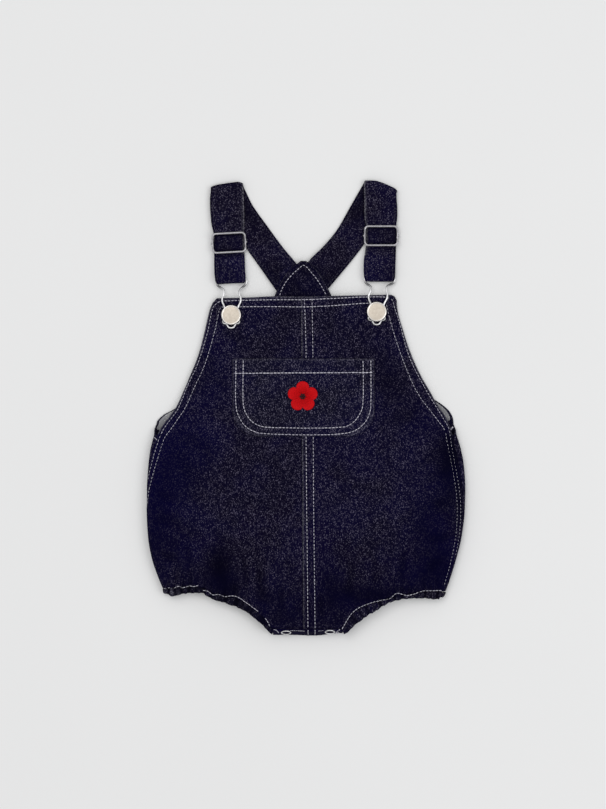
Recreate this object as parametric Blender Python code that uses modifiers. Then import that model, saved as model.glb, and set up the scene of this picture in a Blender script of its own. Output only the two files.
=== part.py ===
"""Baby denim overalls (bubble romper), lying flat, front up.

Frame: metres, +X to the wearer's left, +Y from crotch to shoulders, +Z up out
of the surface it lies on.  Origin: middle of the footprint, on that surface.
Every table below is in millimetres.
"""
import math

import bmesh
import bpy
from mathutils import Vector

# ------------------------------------------------------------------ sizes, mm
MM = 0.001
DENIM = 1.2            # one panel of denim
SEAM_GAP = 0.5         # between panels that are sewn edge to edge
SIDE_GAP = 0.9         # the same on the curve of the side fold
PLY_GAP = 0.3          # between plies that lie on each other
STRAP_PLY = 1.6        # a strap, two plies pressed together
FACING_PLY = 1.0
BAND_PLY = 3.0         # elasticated leg band, flattened
PLACKET_PLY = 1.4
BAND_DROP = 0.75       # leg band below the panels' edges
PATCH_PLY = 0.9
BACK_MID = DENIM / 2   # middle of the back panel, which lies on the surface

BASE_TOP = 90.0        # nominal bib line
BASE_HEM = -152.0      # nominal hem line, where leg and side seam meet
UNDERARM = -22.0       # nominal underarm line
POCKET_TOP = 40.2
POCKET_BOTTOM = -23.0
POCKET_RIGHT = -59.5
POCKET_LEFT = 56.2
POCKET_CORNER = 20.0
PATCH_CENTRE = (-2.3, 9.4)
PATCH_RADIUS = 12.3
BUTTON_RADIUS = 8.1
CLASP_WIRE = 0.75      # radius
SLIDER_WIRE = 0.8      # radius
SLIDER_HALF = (13.3, 7.8)
SLIDER_BAR_REACH = 14.9
SNAP_RADIUS = 4.8
CROTCH = (-26.4, 30.2)


class Table:
    """Rows of named columns, read with a smooth curve through the rows."""

    def __init__(self, columns, rows):
        self.names = columns.split()
        self.rows = sorted(rows)

    def at(self, t, name):
        k = self.names.index(name)
        xs = [r[0] for r in self.rows]
        ys = [r[k] for r in self.rows]
        n = len(xs)
        if t <= xs[0]:
            return ys[0]
        if t >= xs[-1]:
            return ys[-1]
        i = max(j for j in range(n - 1) if xs[j] <= t)
        slope = [(ys[j + 1] - ys[j]) / (xs[j + 1] - xs[j]) for j in range(n - 1)]

        def tangent(j):
            if j == 0:
                return slope[0]
            if j == n - 1:
                return slope[-1]
            a, b = slope[j - 1], slope[j]
            return 0.0 if a * b <= 0 else 2 * a * b / (a + b)

        h = xs[i + 1] - xs[i]
        q = (t - xs[i]) / h
        m0, m1 = tangent(i) * h, tangent(i + 1) * h
        return ((2 * q ** 3 - 3 * q ** 2 + 1) * ys[i] + (q ** 3 - 2 * q ** 2 + q) * m0
                + (-2 * q ** 3 + 3 * q ** 2) * ys[i + 1] + (q ** 3 - q ** 2) * m1)


# ------------------------------------------------------------- garment tables
# bib and armhole edges of the front, above the underarm
ARMHOLE = Table("y right left height", [
    (90.0, -75.9, 74.8, 2.0),
    (83.6, -78.3, 75.2, 2.0),
    (64.0, -82.4, 79.9, 2.0),
    (44.3, -87.3, 86.5, 2.1),
    (24.6, -94.7, 95.5, 2.3),
    (14.8, -98.8, 101.3, 2.5),
    (0.3, -104.6, 110.3, 3.0),
    (-8.0, -110.0, 115.6, 3.5),
    (-15.6, -116.0, 118.4, 4.3),
    (-22.0, -121.5, 120.0, 5.4),
])
# sides below the underarm: outline, how far the seam lies beyond the top of
# the side fold (negative: short of it), and the radius of that fold
SIDE = Table("y right right_seam left left_seam fold", [
    (-22.0, -124.5, 0.0, 123.5, -0.5, 2.4),
    (-34.0, -127.5, 0.2, 126.7, -1.8, 2.9),
    (-48.0, -129.2, 1.8, 128.9, -0.5, 3.3),
    (-66.0, -130.2, 2.9, 130.6, 1.0, 3.6),
    (-84.0, -130.3, 3.6, 130.2, 2.2, 3.8),
    (-105.0, -129.0, 4.0, 127.6, 2.8, 3.8),
    (-125.0, -125.6, 4.0, 123.0, 2.6, 3.6),
    (-142.0, -120.3, 4.0, 117.6, 2.6, 3.4),
    (-152.0, -116.0, 4.0, 113.8, 2.6, 3.2),
])
# height of the front's middle and how square its cross-section is
BODY = Table("y middle power", [
    (90.0, 5.9, 2.0),
    (64.0, 6.2, 2.0),
    (44.0, 6.8, 2.1),
    (24.0, 7.8, 2.2),
    (0.0, 9.1, 2.3),
    (-22.0, 10.3, 2.4),
    (-48.0, 11.6, 2.5),
    (-84.0, 12.8, 2.6),
    (-120.0, 13.0, 2.6),
    (-152.0, 11.8, 2.6),
])
CENTRE_SEAM = Table("y x", [(91.0, -2.2), (0.0, -1.5), (-90.0, -1.0), (-186.0, 0.2)])
BIB_TOP = Table("x y", [
    (-75.9, 86.6), (-72.3, 90.0), (-51.3, 90.4), (-26.7, 91.4), (0.0, 91.2),
    (20.0, 91.8), (51.6, 92.5), (69.3, 92.9), (73.0, 91.6), (74.9, 88.0),
])
# leg line: where the panels end and where the bands end
HEM = Table("x panel band", [
    (-117.0, -148.0, -151.0), (-109.0, -147.6, -154.2), (-98.0, -146.6, -151.8),
    (-86.0, -147.0, -151.4), (-76.0, -151.8, -156.6), (-66.0, -154.6, -159.6),
    (-54.0, -157.4, -164.0), (-44.0, -163.6, -170.2), (-35.0, -171.4, -178.6),
    (-28.6, -179.6, -185.6), (-25.0, -180.4, -186.2), (0.0, -180.6, -186.6),
    (28.0, -180.4, -186.2), (32.4, -177.4, -185.0), (40.0, -167.8, -177.6),
    (49.0, -161.8, -170.6), (59.0, -158.6, -164.8), (69.0, -156.2, -159.8),
    (80.0, -153.2, -156.8), (90.0, -151.6, -156.0), (100.0, -150.6, -155.4),
    (108.0, -150.4, -156.0), (115.0, -150.0, -152.8),
])
# back panel above the underarm, under the bib and up to its point
BACK_TOP = Table("y right left turn", [
    (120.4, -3.9, 0.4, 0.0),
    (118.2, -7.0, 3.6, 0.0),
    (114.8, -11.9, 7.6, 0.0),
    (109.5, -16.2, 11.8, 0.0),
    (104.8, -19.3, 15.0, 0.0),
    (98.0, -22.8, 18.4, 0.0),
    (92.7, -25.0, 20.9, 0.0),
    (80.0, -30.0, 26.5, 0.0),
    (60.0, -40.0, 37.0, 0.0),
    (40.0, -54.0, 53.0, 0.0),
    (20.0, -76.0, 78.0, 0.0),
    (8.0, -94.0, 104.0, 0.0),
    (-1.6, -108.7, 117.3, 0.0),
    (-5.0, -114.8, 119.6, 0.0),
    (-12.0, -121.2, 121.2, 0.0),
    (-16.0, -122.4, 121.4, 50.0),
    (-19.0, -122.2, 121.0, 110.0),
    (-22.0, -121.5, 120.5, 156.0),
])
# facing of the back point
FACING = Table("y right left middle", [
    (120.6, -3.7, 0.2, 3.7),
    (118.4, -6.6, 3.2, 3.9),
    (114.8, -11.6, 7.3, 3.95),
    (109.5, -15.9, 11.5, 3.95),
    (104.8, -19.0, 14.7, 3.95),
    (98.0, -22.5, 18.1, 3.9),
    (92.7, -24.7, 20.6, 3.9),
    (78.0, -29.0, 25.6, 3.9),
    (64.0, -31.5, 28.5, 3.9),
])
# largest soft folds of the front: from, to, half width, depth
FOLDS = [
    dict(a=(-71.0, -118.0), b=(-72.0, -156.0), half=4.5, depth=1.3),
    dict(a=(-60.5, -112.0), b=(-62.5, -158.0), half=5.0, depth=1.6),
    dict(a=(-118.0, -108.0), b=(-98.0, -148.0), half=6.0, depth=1.1),
    dict(a=(-84.0, -104.0), b=(-86.0, -128.0), half=5.0, depth=0.6),
    dict(a=(66.0, -126.0), b=(69.0, -158.0), half=5.0, depth=1.2),
    dict(a=(19.0, -136.0), b=(24.0, -172.0), half=5.5, depth=0.9),
    dict(a=(118.0, -100.0), b=(108.0, -128.0), half=6.0, depth=0.9),
    dict(a=(92.0, -138.0), b=(94.0, -156.0), half=5.0, depth=0.8),
]
# straps: outer edge, inner edge, height of the middle ply; one row a station
# from the sewn end, over the shoulder fold, down to the clasp and back up
STRAP_RIGHT = [
    dict(outer=(-22.4, 95.0), inner=(-2.7, 111.5), z=2.3),
    dict(outer=(-26.0, 99.8), inner=(-8.7, 119.6), z=2.3),
    dict(outer=(-36.7, 115.1), inner=(-19.0, 132.0), z=1.9),
    dict(outer=(-48.3, 131.6), inner=(-31.4, 148.9), z=0.9),
    dict(outer=(-61.7, 154.0), inner=(-43.9, 166.7), z=0.8),
    dict(outer=(-72.5, 172.0), inner=(-49.6, 178.6), z=0.8),
    dict(fold="shoulder", outer=(-77.5, 179.6), inner=(-51.5, 183.4), low=0.8, high=2.9,
         push=(-0.08, 1.0)),
    dict(outer=(-78.2, 170.0), inner=(-51.0, 172.0), z=2.9),
    dict(outer=(-76.9, 151.0), inner=(-50.6, 152.0), z=2.9),
    dict(outer=(-75.0, 142.6), inner=(-50.8, 143.9), z=2.9),
    dict(outer=(-74.9, 138.9), inner=(-50.7, 140.2), z=3.9),
    dict(outer=(-74.9, 135.1), inner=(-50.7, 136.4), z=4.6),
    dict(outer=(-74.8, 131.2), inner=(-50.6, 132.5), z=3.9),
    dict(outer=(-74.7, 127.3), inner=(-50.5, 128.6), z=2.9),
    dict(outer=(-74.7, 119.0), inner=(-49.3, 120.4), z=3.0),
    dict(outer=(-74.5, 109.5), inner=(-48.8, 110.9), z=4.2),
    dict(fold="clasp", outer=(-72.7, 104.0), inner=(-48.6, 105.3), low=0.8, high=4.5,
         push=(0.05, -1.0), pinch=1.5),
    dict(outer=(-74.2, 114.0), inner=(-49.4, 115.4), z=0.8),
    dict(outer=(-74.4, 124.5), inner=(-52.5, 125.9), z=0.8),
    dict(outer=(-74.4, 135.0), inner=(-54.0, 136.1), z=0.85),
    dict(outer=(-74.4, 136.4), inner=(-54.4, 137.5), z=1.45),
    dict(outer=(-74.4, 136.95), inner=(-54.4, 138.05), z=2.7),
]
STRAP_LEFT = [
    dict(outer=(15.8, 95.6), inner=(-1.1, 114.5), z=2.3),
    dict(outer=(18.8, 98.7), inner=(3.7, 121.4), z=2.3),
    dict(outer=(31.0, 113.2), inner=(15.2, 132.9), z=1.9),
    dict(outer=(44.0, 129.4), inner=(25.9, 145.8), z=0.9),
    dict(outer=(57.0, 149.0), inner=(37.3, 165.6), z=0.8),
    dict(outer=(67.5, 165.5), inner=(43.6, 176.6), z=0.8),
    dict(fold="shoulder", outer=(74.0, 175.0), inner=(48.4, 185.2), low=0.8, high=2.9,
         push=(0.34, 0.94)),
    dict(outer=(75.0, 165.0), inner=(48.7, 170.0), z=2.9),
    dict(outer=(75.0, 156.0), inner=(48.7, 157.0), z=2.9),
    dict(outer=(74.2, 149.1), inner=(50.0, 149.1), z=2.9),
    dict(outer=(74.2, 145.3), inner=(50.0, 145.3), z=3.9),
    dict(outer=(74.2, 141.4), inner=(50.0, 141.4), z=4.6),
    dict(outer=(74.2, 137.5), inner=(50.0, 137.5), z=3.9),
    dict(outer=(74.1, 133.6), inner=(49.9, 133.6), z=2.9),
    dict(outer=(73.7, 121.0), inner=(48.2, 121.0), z=3.0),
    dict(outer=(73.4, 111.4), inner=(48.1, 111.4), z=4.2),
    dict(fold="clasp", outer=(73.0, 106.4), inner=(48.8, 106.4), low=0.8, high=4.5,
         push=(0.0, -1.0), pinch=1.5),
    dict(outer=(73.2, 117.0), inner=(48.6, 117.0), z=0.8),
    dict(outer=(73.4, 130.0), inner=(51.0, 130.0), z=0.8),
    dict(outer=(73.4, 141.2), inner=(55.6, 141.2), z=0.85),
    dict(outer=(73.4, 142.7), inner=(56.0, 142.7), z=1.45),
    dict(outer=(73.4, 143.25), inner=(56.0, 143.25), z=2.7),
]
# half of a clasp's wire, measured from the button's middle; the rows with no
# height of their own lie on the bib
CLASP = [
    dict(half=12.1, up=28.2, z=2.65), dict(half=12.1, up=26.2, z=2.65),
    dict(half=11.6, up=24.9, z=2.7), dict(half=7.0, up=21.0, z=3.0),
    dict(half=6.3, up=19.8, z=3.2), dict(half=6.5, up=17.0, z=3.8),
    dict(half=7.6, up=13.6, z=0), dict(half=7.5, up=11.0, z=0),
    dict(half=5.6, up=6.6, z=0), dict(half=4.9, up=2.0, z=0),
    dict(half=5.2, up=-2.6, z=0), dict(half=6.7, up=-5.2, z=0),
    dict(half=6.2, up=-6.6, z=0), dict(half=3.7, up=-7.2, z=0),
    dict(half=3.0, up=-8.6, z=0), dict(half=1.7, up=-10.2, z=0),
]
HARDWARE = dict(
    right=dict(button=(-61.0, 76.3), lean=0.02, bar=(-60.6, 104.6), bar_turn=3.1,
               slider=(-62.8, 135.7), slider_turn=3.1),
    left=dict(button=(58.4, 79.0), lean=0.085, bar=(60.9, 106.4), bar_turn=0.0,
              slider=(62.1, 141.4), slider_turn=0.0),
)
BUTTON = [  # radius, height above the bib
    (0.0, 0.6), (3.4, 0.6), (3.4, 1.1), (2.3, 1.3), (2.3, 3.0), (7.6, 3.0),
    (8.1, 3.4), (8.1, 4.4), (7.6, 5.0), (5.0, 5.3), (0.0, 5.4),
]
# crotch facings, section through the middle: y, z
CROTCH_FRONT = [(-181.2, 11.6), (-182.2, 11.0), (-182.9, 9.6), (-184.2, 5.9), (-185.3, 2.6),
                (-186.1, 1.3)]
CROTCH_BACK = [(-170.0, 2.25), (-178.0, 2.25), (-181.6, 2.5), (-182.5, 3.6), (-181.5, 6.6),
               (-180.6, 9.4)]
SNAPS = dict(right=-15.9, left=18.9)

COLLECTION = "baby_denim_overalls"


# ------------------------------------------------------------ garment surface
def smooth(t):
    t = min(1.0, max(0.0, t))
    return t * t * (3 - 2 * t)


def hem_share(base):
    """How far a row has bent from level to the leg line."""
    return smooth((-96.0 - base) / (-96.0 - BASE_HEM))


def bib_share(base):
    return min(1.0, max(0.0, (base - 66.0) / (BASE_TOP - 66.0)))


def row_y(x, base):
    return (base + hem_share(base) * (HEM.at(x, "panel") - BASE_HEM)
            + bib_share(base) * (BIB_TOP.at(x, "y") - BASE_TOP))


def side_values(base, side):
    """Top of the side fold, its radius and the seam's place beyond it."""
    if base >= UNDERARM:
        return ARMHOLE.at(base, side), 0.0, 0.0, ARMHOLE.at(base, "height")
    fold = SIDE.at(base, "fold")
    sign = -1 if side == "right" else 1
    top = SIDE.at(base, side) - sign * (fold + DENIM / 2)
    return top, fold, SIDE.at(base, side + "_seam"), BACK_MID + 2 * fold


def fold_drop(x, y):
    """Depth of the soft folds at a point of the front."""
    total = 0.0
    for f in FOLDS:
        (ax, ay), (bx, by) = f["a"], f["b"]
        dx, dy = bx - ax, by - ay
        length = math.hypot(dx, dy)
        t = ((x - ax) * dx + (y - ay) * dy) / length ** 2
        away = abs((x - ax) * dy - (y - ay) * dx) / length
        if 0.0 < t < 1.3 and away < 2.2 * f["half"]:
            reach = smooth(t / 0.5) * smooth((1.3 - t) / 0.2)
            total += f["depth"] * reach * math.exp(-(away / f["half"]) ** 2)
    return total


def dome(base, s):
    _, _, _, edge = side_values(base, "right" if s < 0 else "left")
    middle = BODY.at(base, "middle")
    return edge + (middle - edge) * (1 - abs(s) ** BODY.at(base, "power"))


def front_point(side, u, base):
    """u runs 0..1 from the centre seam to the side, base is the row."""
    sign = -1 if side == "right" else 1
    top, fold, beyond, edge = side_values(base, side)
    centre = CENTRE_SEAM.at(base, "x") + sign * SEAM_GAP / 2
    flat = abs(top - centre) + min(beyond, 0.0)
    round_part = max(beyond, 0.0)
    run = u * (flat + round_part)
    if run <= flat or round_part == 0.0:
        x = centre + sign * run
        s = sign * min(1.0, run / flat)
        z = dome(base, s)
        y = row_y(x, base)
        z -= fold_drop(x, y) * smooth((1 - abs(s)) / 0.08)
        return Vector((x, y, z))
    angle = (run - flat) / fold
    x = top + sign * fold * math.sin(angle)
    z = edge - fold * (1 - math.cos(angle))
    return Vector((x, row_y(x, base), z))


def back_point(side, u, base):
    """u runs 0..1 from the centre-back seam, round the side fold, to the seam."""
    sign = -1 if side == "right" else 1
    centre = sign * SEAM_GAP / 2
    if base >= UNDERARM:
        top, fold = BACK_TOP.at(base, side), SIDE.at(UNDERARM, "fold")
        arc = math.radians(BACK_TOP.at(base, "turn")) * fold
        beyond = 0.0
    else:
        top, fold, beyond, _ = side_values(base, side)
        arc = math.pi * fold
    flat = abs(top - centre)
    back_over = 0.0
    if base < UNDERARM or arc > 0.0:
        end = beyond + SIDE_GAP if base < UNDERARM else 0.0
        if end >= 0.0:
            arc -= end
        else:
            back_over = -end
    run = u * (flat + arc + back_over)
    if run <= flat or arc == 0.0:
        x = centre + sign * min(run, flat)
        return Vector((x, back_row(x, base), BACK_MID))
    if run <= flat + arc:
        angle = (run - flat) / fold
        x = top + sign * fold * math.sin(angle)
        z = BACK_MID + fold * (1 - math.cos(angle))
        return Vector((x, back_row(x, base), z))
    x = top - sign * (run - flat - arc)
    return Vector((x, back_row(x, base), BACK_MID + 2 * fold))


def back_row(x, base):
    return base + hem_share(base) * (HEM.at(x, "panel") - BASE_HEM)


def front_height(x, y):
    """Middle of the front's denim above a point of the bib or body."""
    low, high = BASE_HEM, BASE_TOP
    for _ in range(40):
        mid = (low + high) / 2
        if row_y(x, mid) < y:
            low = mid
        else:
            high = mid
    base = (low + high) / 2
    side = "right" if x < CENTRE_SEAM.at(base, "x") else "left"
    sign = -1 if side == "right" else 1
    top, _, beyond, _ = side_values(base, side)
    centre = CENTRE_SEAM.at(base, "x")
    flat = abs(top - centre) + min(beyond, 0.0)
    s = min(1.0, abs(x - centre) / flat)
    return dome(base, sign * s) - fold_drop(x, y) * smooth((1 - s) / 0.08)


# -------------------------------------------------------------------- helpers
def clear_scene():
    for obj in list(bpy.data.objects):
        bpy.data.objects.remove(obj, do_unlink=True)


def make_collection():
    coll = bpy.data.collections.get(COLLECTION) or bpy.data.collections.new(COLLECTION)
    if COLLECTION not in bpy.context.scene.collection.children:
        bpy.context.scene.collection.children.link(coll)
    return coll


def material(name, colour, roughness, metallic=0.0):
    mat = bpy.data.materials.new(name)
    mat.use_nodes = True
    bsdf = mat.node_tree.nodes["Principled BSDF"]
    bsdf.inputs["Base Color"].default_value = (*colour, 1.0)
    bsdf.inputs["Roughness"].default_value = roughness
    bsdf.inputs["Metallic"].default_value = metallic
    return mat


def add_object(name, mesh, mat):
    obj = bpy.data.objects.new(name, mesh)
    bpy.data.collections[COLLECTION].objects.link(obj)
    mesh.materials.append(mat)
    return obj


def sheet(name, across, along, place, ply, mat):
    """A grid laid over place(i, j) and thickened evenly to both sides."""
    nx, ny = len(across) - 1, len(along) - 1
    bm = bmesh.new()
    bmesh.ops.create_grid(bm, x_segments=nx, y_segments=ny, size=1.0)
    for v in bm.verts:
        i = round((v.co.x + 1) / 2 * nx)
        j = round((v.co.y + 1) / 2 * ny)
        v.co = place(across[i], along[j]) * MM
    mesh = bpy.data.meshes.new(name)
    bm.to_mesh(mesh)
    bm.free()
    obj = add_object(name, mesh, mat)
    solid = obj.modifiers.new("Ply", "SOLIDIFY")
    solid.thickness = ply * MM
    solid.offset = 0.0
    solid.use_even_offset = True
    mesh.shade_smooth()
    return obj


def steps(*stops):
    """Values from (start, end, count) runs, without repeats."""
    out = []
    for start, end, count in stops:
        for k in range(count):
            out.append(start + (end - start) * k / count)
    out.append(stops[-1][1])
    return out


def wire(name, points, radius, cyclic, mat, resolution=2):
    curve = bpy.data.curves.new(name, "CURVE")
    curve.dimensions = "3D"
    curve.bevel_depth = radius * MM
    curve.bevel_resolution = resolution
    curve.use_fill_caps = not cyclic
    spline = curve.splines.new("POLY")
    spline.points.add(len(points) - 1)
    for p, co in zip(spline.points, points):
        p.co = (co[0] * MM, co[1] * MM, co[2] * MM, 1.0)
    spline.use_cyclic_u = cyclic
    obj = bpy.data.objects.new(name, curve)
    bpy.data.collections[COLLECTION].objects.link(obj)
    curve.materials.append(mat)
    return obj


def to_mesh(obj):
    """The same object as a welded mesh."""
    deps = bpy.context.evaluated_depsgraph_get()
    mesh = bpy.data.meshes.new_from_object(obj.evaluated_get(deps))
    bm = bmesh.new()
    bm.from_mesh(mesh)
    bmesh.ops.remove_doubles(bm, verts=bm.verts, dist=0.00001)
    bm.to_mesh(mesh)
    bm.free()
    name, matrix = obj.name, obj.matrix_world.copy()
    bpy.data.objects.remove(obj, do_unlink=True)
    new = bpy.data.objects.new(name, mesh)
    new.matrix_world = matrix
    bpy.data.collections[COLLECTION].objects.link(new)
    return new


# --------------------------------------------------------------------- pieces
FRONT_ACROSS = steps((0.0, 0.225, 3), (0.225, 0.44, 3), (0.44, 0.92, 6), (0.92, 1.0, 4))
BACK_ACROSS = steps((0.0, 0.215, 1), (0.215, 0.43, 3), (0.43, 0.70, 3), (0.70, 0.90, 2),
                    (0.90, 1.0, 7))
BODY_ROWS = [BASE_HEM, -147.0, -140.0, -130.0, -117.0, -100.0, -80.0, -60.0, -44.0, -32.0,
             UNDERARM]
FRONT_ROWS = BODY_ROWS + [-14.0, -6.0, 6.0, 22.0, 42.0, 62.0, 78.0, 86.0, BASE_TOP]
BACK_ROWS = BODY_ROWS + [-19.0, -16.0, -12.0, -5.0, 2.0, 10.0, 24.0, 46.0, 70.0, 92.7, 106.0,
                         115.0, 120.4]


def panels(denim):
    for side in ("right", "left"):
        front = lambda u, base, s=side: front_point(s, u, base)
        back = lambda u, base, s=side: back_point(s, u, base)
        sheet("front_" + side, FRONT_ACROSS, FRONT_ROWS, front, DENIM, denim)
        sheet("back_" + side, BACK_ACROSS, BACK_ROWS, back, DENIM, denim)


def facing(denim):
    def place(u, y):
        right, left = FACING.at(y, "right"), FACING.at(y, "left")
        return Vector((right + (left - right) * u, y, FACING.at(y, "middle")))
    rows = [64.0, 78.0, 92.7, 98.0, 104.8, 109.5, 114.8, 118.4, 120.6]
    sheet("back_facing", steps((0.0, 1.0, 4)), rows, place, FACING_PLY, denim)


def pocket_point(u, y):
    """A point of the pocket's middle ply."""
    turn = max(0.0, POCKET_BOTTOM + POCKET_CORNER - y)
    inset = POCKET_CORNER - math.sqrt(max(0.0, POCKET_CORNER ** 2 - turn ** 2))
    x = POCKET_RIGHT + inset + (POCKET_LEFT - POCKET_RIGHT - 2 * inset) * u
    return Vector((x, y, front_height(x, y) + DENIM + PLY_GAP))


def pocket(denim):
    bend = [POCKET_BOTTOM + POCKET_CORNER * (1 - math.cos(math.radians(a)))
            for a in (0, 22, 40, 56, 72, 90)]
    rows = bend + [8.0, 19.0, 30.0, POCKET_TOP]
    sheet("pocket", steps((0.0, 1.0, 12)), rows, pocket_point, DENIM, denim)


def patch(red):
    """Five-petalled flower on the pocket."""
    cx, cy = PATCH_CENTRE
    bm = bmesh.new()
    bmesh.ops.create_circle(bm, cap_ends=True, segments=60, radius=1.0)
    lift = DENIM / 2 + PLY_GAP + PATCH_PLY / 2 + DENIM + PLY_GAP
    for v in bm.verts:
        angle = math.atan2(v.co.y, v.co.x)
        petal = abs(math.cos(2.5 * (angle - math.pi / 2)))
        radius = PATCH_RADIUS * (0.70 + 0.30 * petal ** 0.6)
        x, y = cx + radius * math.cos(angle), cy + radius * math.sin(angle)
        v.co = Vector((x, y, front_height(x, y) + lift)) * MM
    mesh = bpy.data.meshes.new("flower_patch")
    bm.to_mesh(mesh)
    bm.free()
    obj = add_object("flower_patch", mesh, red)
    solid = obj.modifiers.new("Ply", "SOLIDIFY")
    solid.thickness = PATCH_PLY * MM
    solid.offset = 0.0


def strap_stations(rows):
    """Edges of a strap, with each fold turned about its own axis."""
    out = []
    for row in rows:
        if "fold" not in row:
            out.append((Vector((*row["outer"], row["z"])), Vector((*row["inner"], row["z"]))))
            continue
        radius = (row["high"] - row["low"]) / 2
        push = Vector((*row["push"], 0.0)).normalized()
        rising = row["fold"] == "shoulder"
        outer, inner = Vector((*row["outer"], 0.0)), Vector((*row["inner"], 0.0))
        side = (inner - outer).normalized()
        for k in range(7):
            angle = math.pi * k / 6
            z = row["low"] + radius * (1 - math.cos(angle if rising else math.pi - angle))
            shift = push * radius * math.sin(angle) + Vector((0, 0, z))
            squeeze = side * row.get("pinch", 0.0) * math.sin(angle)
            out.append((outer + squeeze + shift, inner - squeeze + shift))
    return out


def strap(name, rows, denim):
    stations = strap_stations(rows)

    def place(u, k):
        outer, inner = stations[int(k)]
        return outer + (inner - outer) * u
    sheet(name, steps((0.0, 1.0, 2)), list(range(len(stations))), place, STRAP_PLY, denim)


def band_stations(side):
    """Middle, outward and upward directions and half widths along a leg band."""
    sign = -1 if side == "right" else 1
    start = CROTCH[0] - 2.4 if side == "right" else CROTCH[1] + 2.6
    top, fold, _, edge = side_values(BASE_HEM, side)
    out = []

    def rim(x, level, k, share):
        y0, y1 = HEM.at(x, "panel"), HEM.at(x, "band")
        slope = (HEM.at(x + 0.5, "band") - HEM.at(x - 0.5, "band")
                 + HEM.at(x + 0.5, "panel") - HEM.at(x - 0.5, "panel")) / 2
        cos = 1 / math.hypot(1.0, slope)
        half = (y0 - y1) * cos / 2 - 1.4 * PLY_GAP
        gather = 0.32 * math.sin(2.3 * k) * share
        out.append(dict(at=Vector((x, (y0 + y1) / 2 - BAND_DROP, level)), slope=slope,
                        half=half + gather, thick=BAND_PLY / 2 - 0.15 + gather * 0.4))

    count = 28
    for k in range(count + 1):
        x = start + (top - start) * k / count
        s = sign * abs(x - CENTRE_SEAM.at(BASE_HEM, "x")) / abs(top - CENTRE_SEAM.at(BASE_HEM, "x"))
        level = dome(BASE_HEM, s) + 0.2
        rim(x, level, k, min(1.0, k / 3))
    front_level = out[-1]["at"].z
    back_level = BAND_PLY / 2
    radius = (front_level - back_level) / 2
    y = out[-1]["at"].y
    for k in range(1, 6):
        angle = math.pi * k / 6
        out.append(dict(at=Vector((top + sign * radius * 1.05 * math.sin(angle), y + 0.3 * math.sin(angle),
                                   back_level + radius * (1 + math.cos(angle)))),
                        slope=0.0, half=2.0, thick=1.25, turn=angle))
    count = 22
    for k in range(count + 1):
        x = top + (start - top) * k / count
        rim(x, back_level, k + 2, min(1.0, (count - k) / 3))
        out[-1]["turn"] = math.pi
    return out, sign


def leg_band(side, denim):
    stations, sign = band_stations(side)
    ring = 8

    def place(k, q):
        st = stations[int(k)]
        turn = st.get("turn", 0.0)
        up = Vector((sign * math.sin(turn), 0.0, math.cos(turn)))
        norm = math.hypot(1.0, st["slope"])
        out_dir = Vector((st["slope"] / norm, -1.0 / norm, 0.0))
        angle = 2 * math.pi * q / ring + math.pi / ring
        c, s = math.cos(angle), math.sin(angle)
        return st["at"] + out_dir * st["half"] * c * 1.05 + up * st["thick"] * s * 1.08

    bm = bmesh.new()
    rings = []
    for k in range(len(stations)):
        rings.append([bm.verts.new(place(k, q) * MM) for q in range(ring)])
    for a, b in zip(rings, rings[1:]):
        for q in range(ring):
            bm.faces.new((a[q], a[(q + 1) % ring], b[(q + 1) % ring], b[q]))
    bm.faces.new(rings[0][::-1])
    bm.faces.new(rings[-1])
    bmesh.ops.recalc_face_normals(bm, faces=bm.faces)
    mesh = bpy.data.meshes.new("leg_band_" + side)
    bm.to_mesh(mesh)
    bm.free()
    add_object("leg_band_" + side, mesh, denim)


def crotch(denim):
    def strip(name, section):
        def place(u, k):
            y, z = section[int(k)]
            x = CROTCH[0] + (CROTCH[1] - CROTCH[0]) * u
            return Vector((x, y, z))
        sheet(name, steps((0.0, 1.0, 6)), list(range(len(section))), place, PLACKET_PLY, denim)
    strip("crotch_front", CROTCH_FRONT[::-1])
    strip("crotch_back", CROTCH_BACK)


def snaps(metal):
    """Open ring snaps on the steep face of the front crotch facing."""
    a, b = Vector((0, *CROTCH_FRONT[2])), Vector((0, *CROTCH_FRONT[4]))
    face = (b - a).normalized()
    out = Vector((0, face.z, -face.y))
    if out.y > 0:
        out = -out
    middle = (a + b) / 2 + out * (PLACKET_PLY / 2 + PLY_GAP + 0.72)
    tilt = math.atan2(-out.y, out.z)
    for side, x in SNAPS.items():
        profile = [(3.1, -0.5), (3.6, 0.15), (4.3, 0.5), (SNAP_RADIUS, 0.1), (SNAP_RADIUS, -0.5)]
        obj = turned("snap_" + side, profile, metal, closed=True, count=20)
        obj.location = Vector((x, middle.y, middle.z)) * MM
        obj.rotation_euler = (tilt, 0, 0)


def turned(name, profile, mat, closed=False, count=24):
    """Profile of (radius, height) turned round its Z axis."""
    bm = bmesh.new()
    verts = [bm.verts.new((r * MM, 0.0, h * MM)) for r, h in profile]
    for p, q in zip(verts, verts[1:]):
        bm.edges.new((p, q))
    if closed:
        bm.edges.new((verts[-1], verts[0]))
    mesh = bpy.data.meshes.new(name)
    bm.to_mesh(mesh)
    bm.free()
    obj = add_object(name, mesh, mat)
    screw = obj.modifiers.new("Turn", "SCREW")
    screw.steps = screw.render_steps = count
    screw.use_merge_vertices = True
    screw.merge_threshold = 0.00002
    screw.use_normal_calculate = True
    return obj


def buttons(metal):
    for side, h in HARDWARE.items():
        x, y = h["button"]
        obj = turned("button_" + side, BUTTON[::-1], metal)
        obj.location = Vector((x, y, front_height(x, y) + DENIM / 2)) * MM


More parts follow.
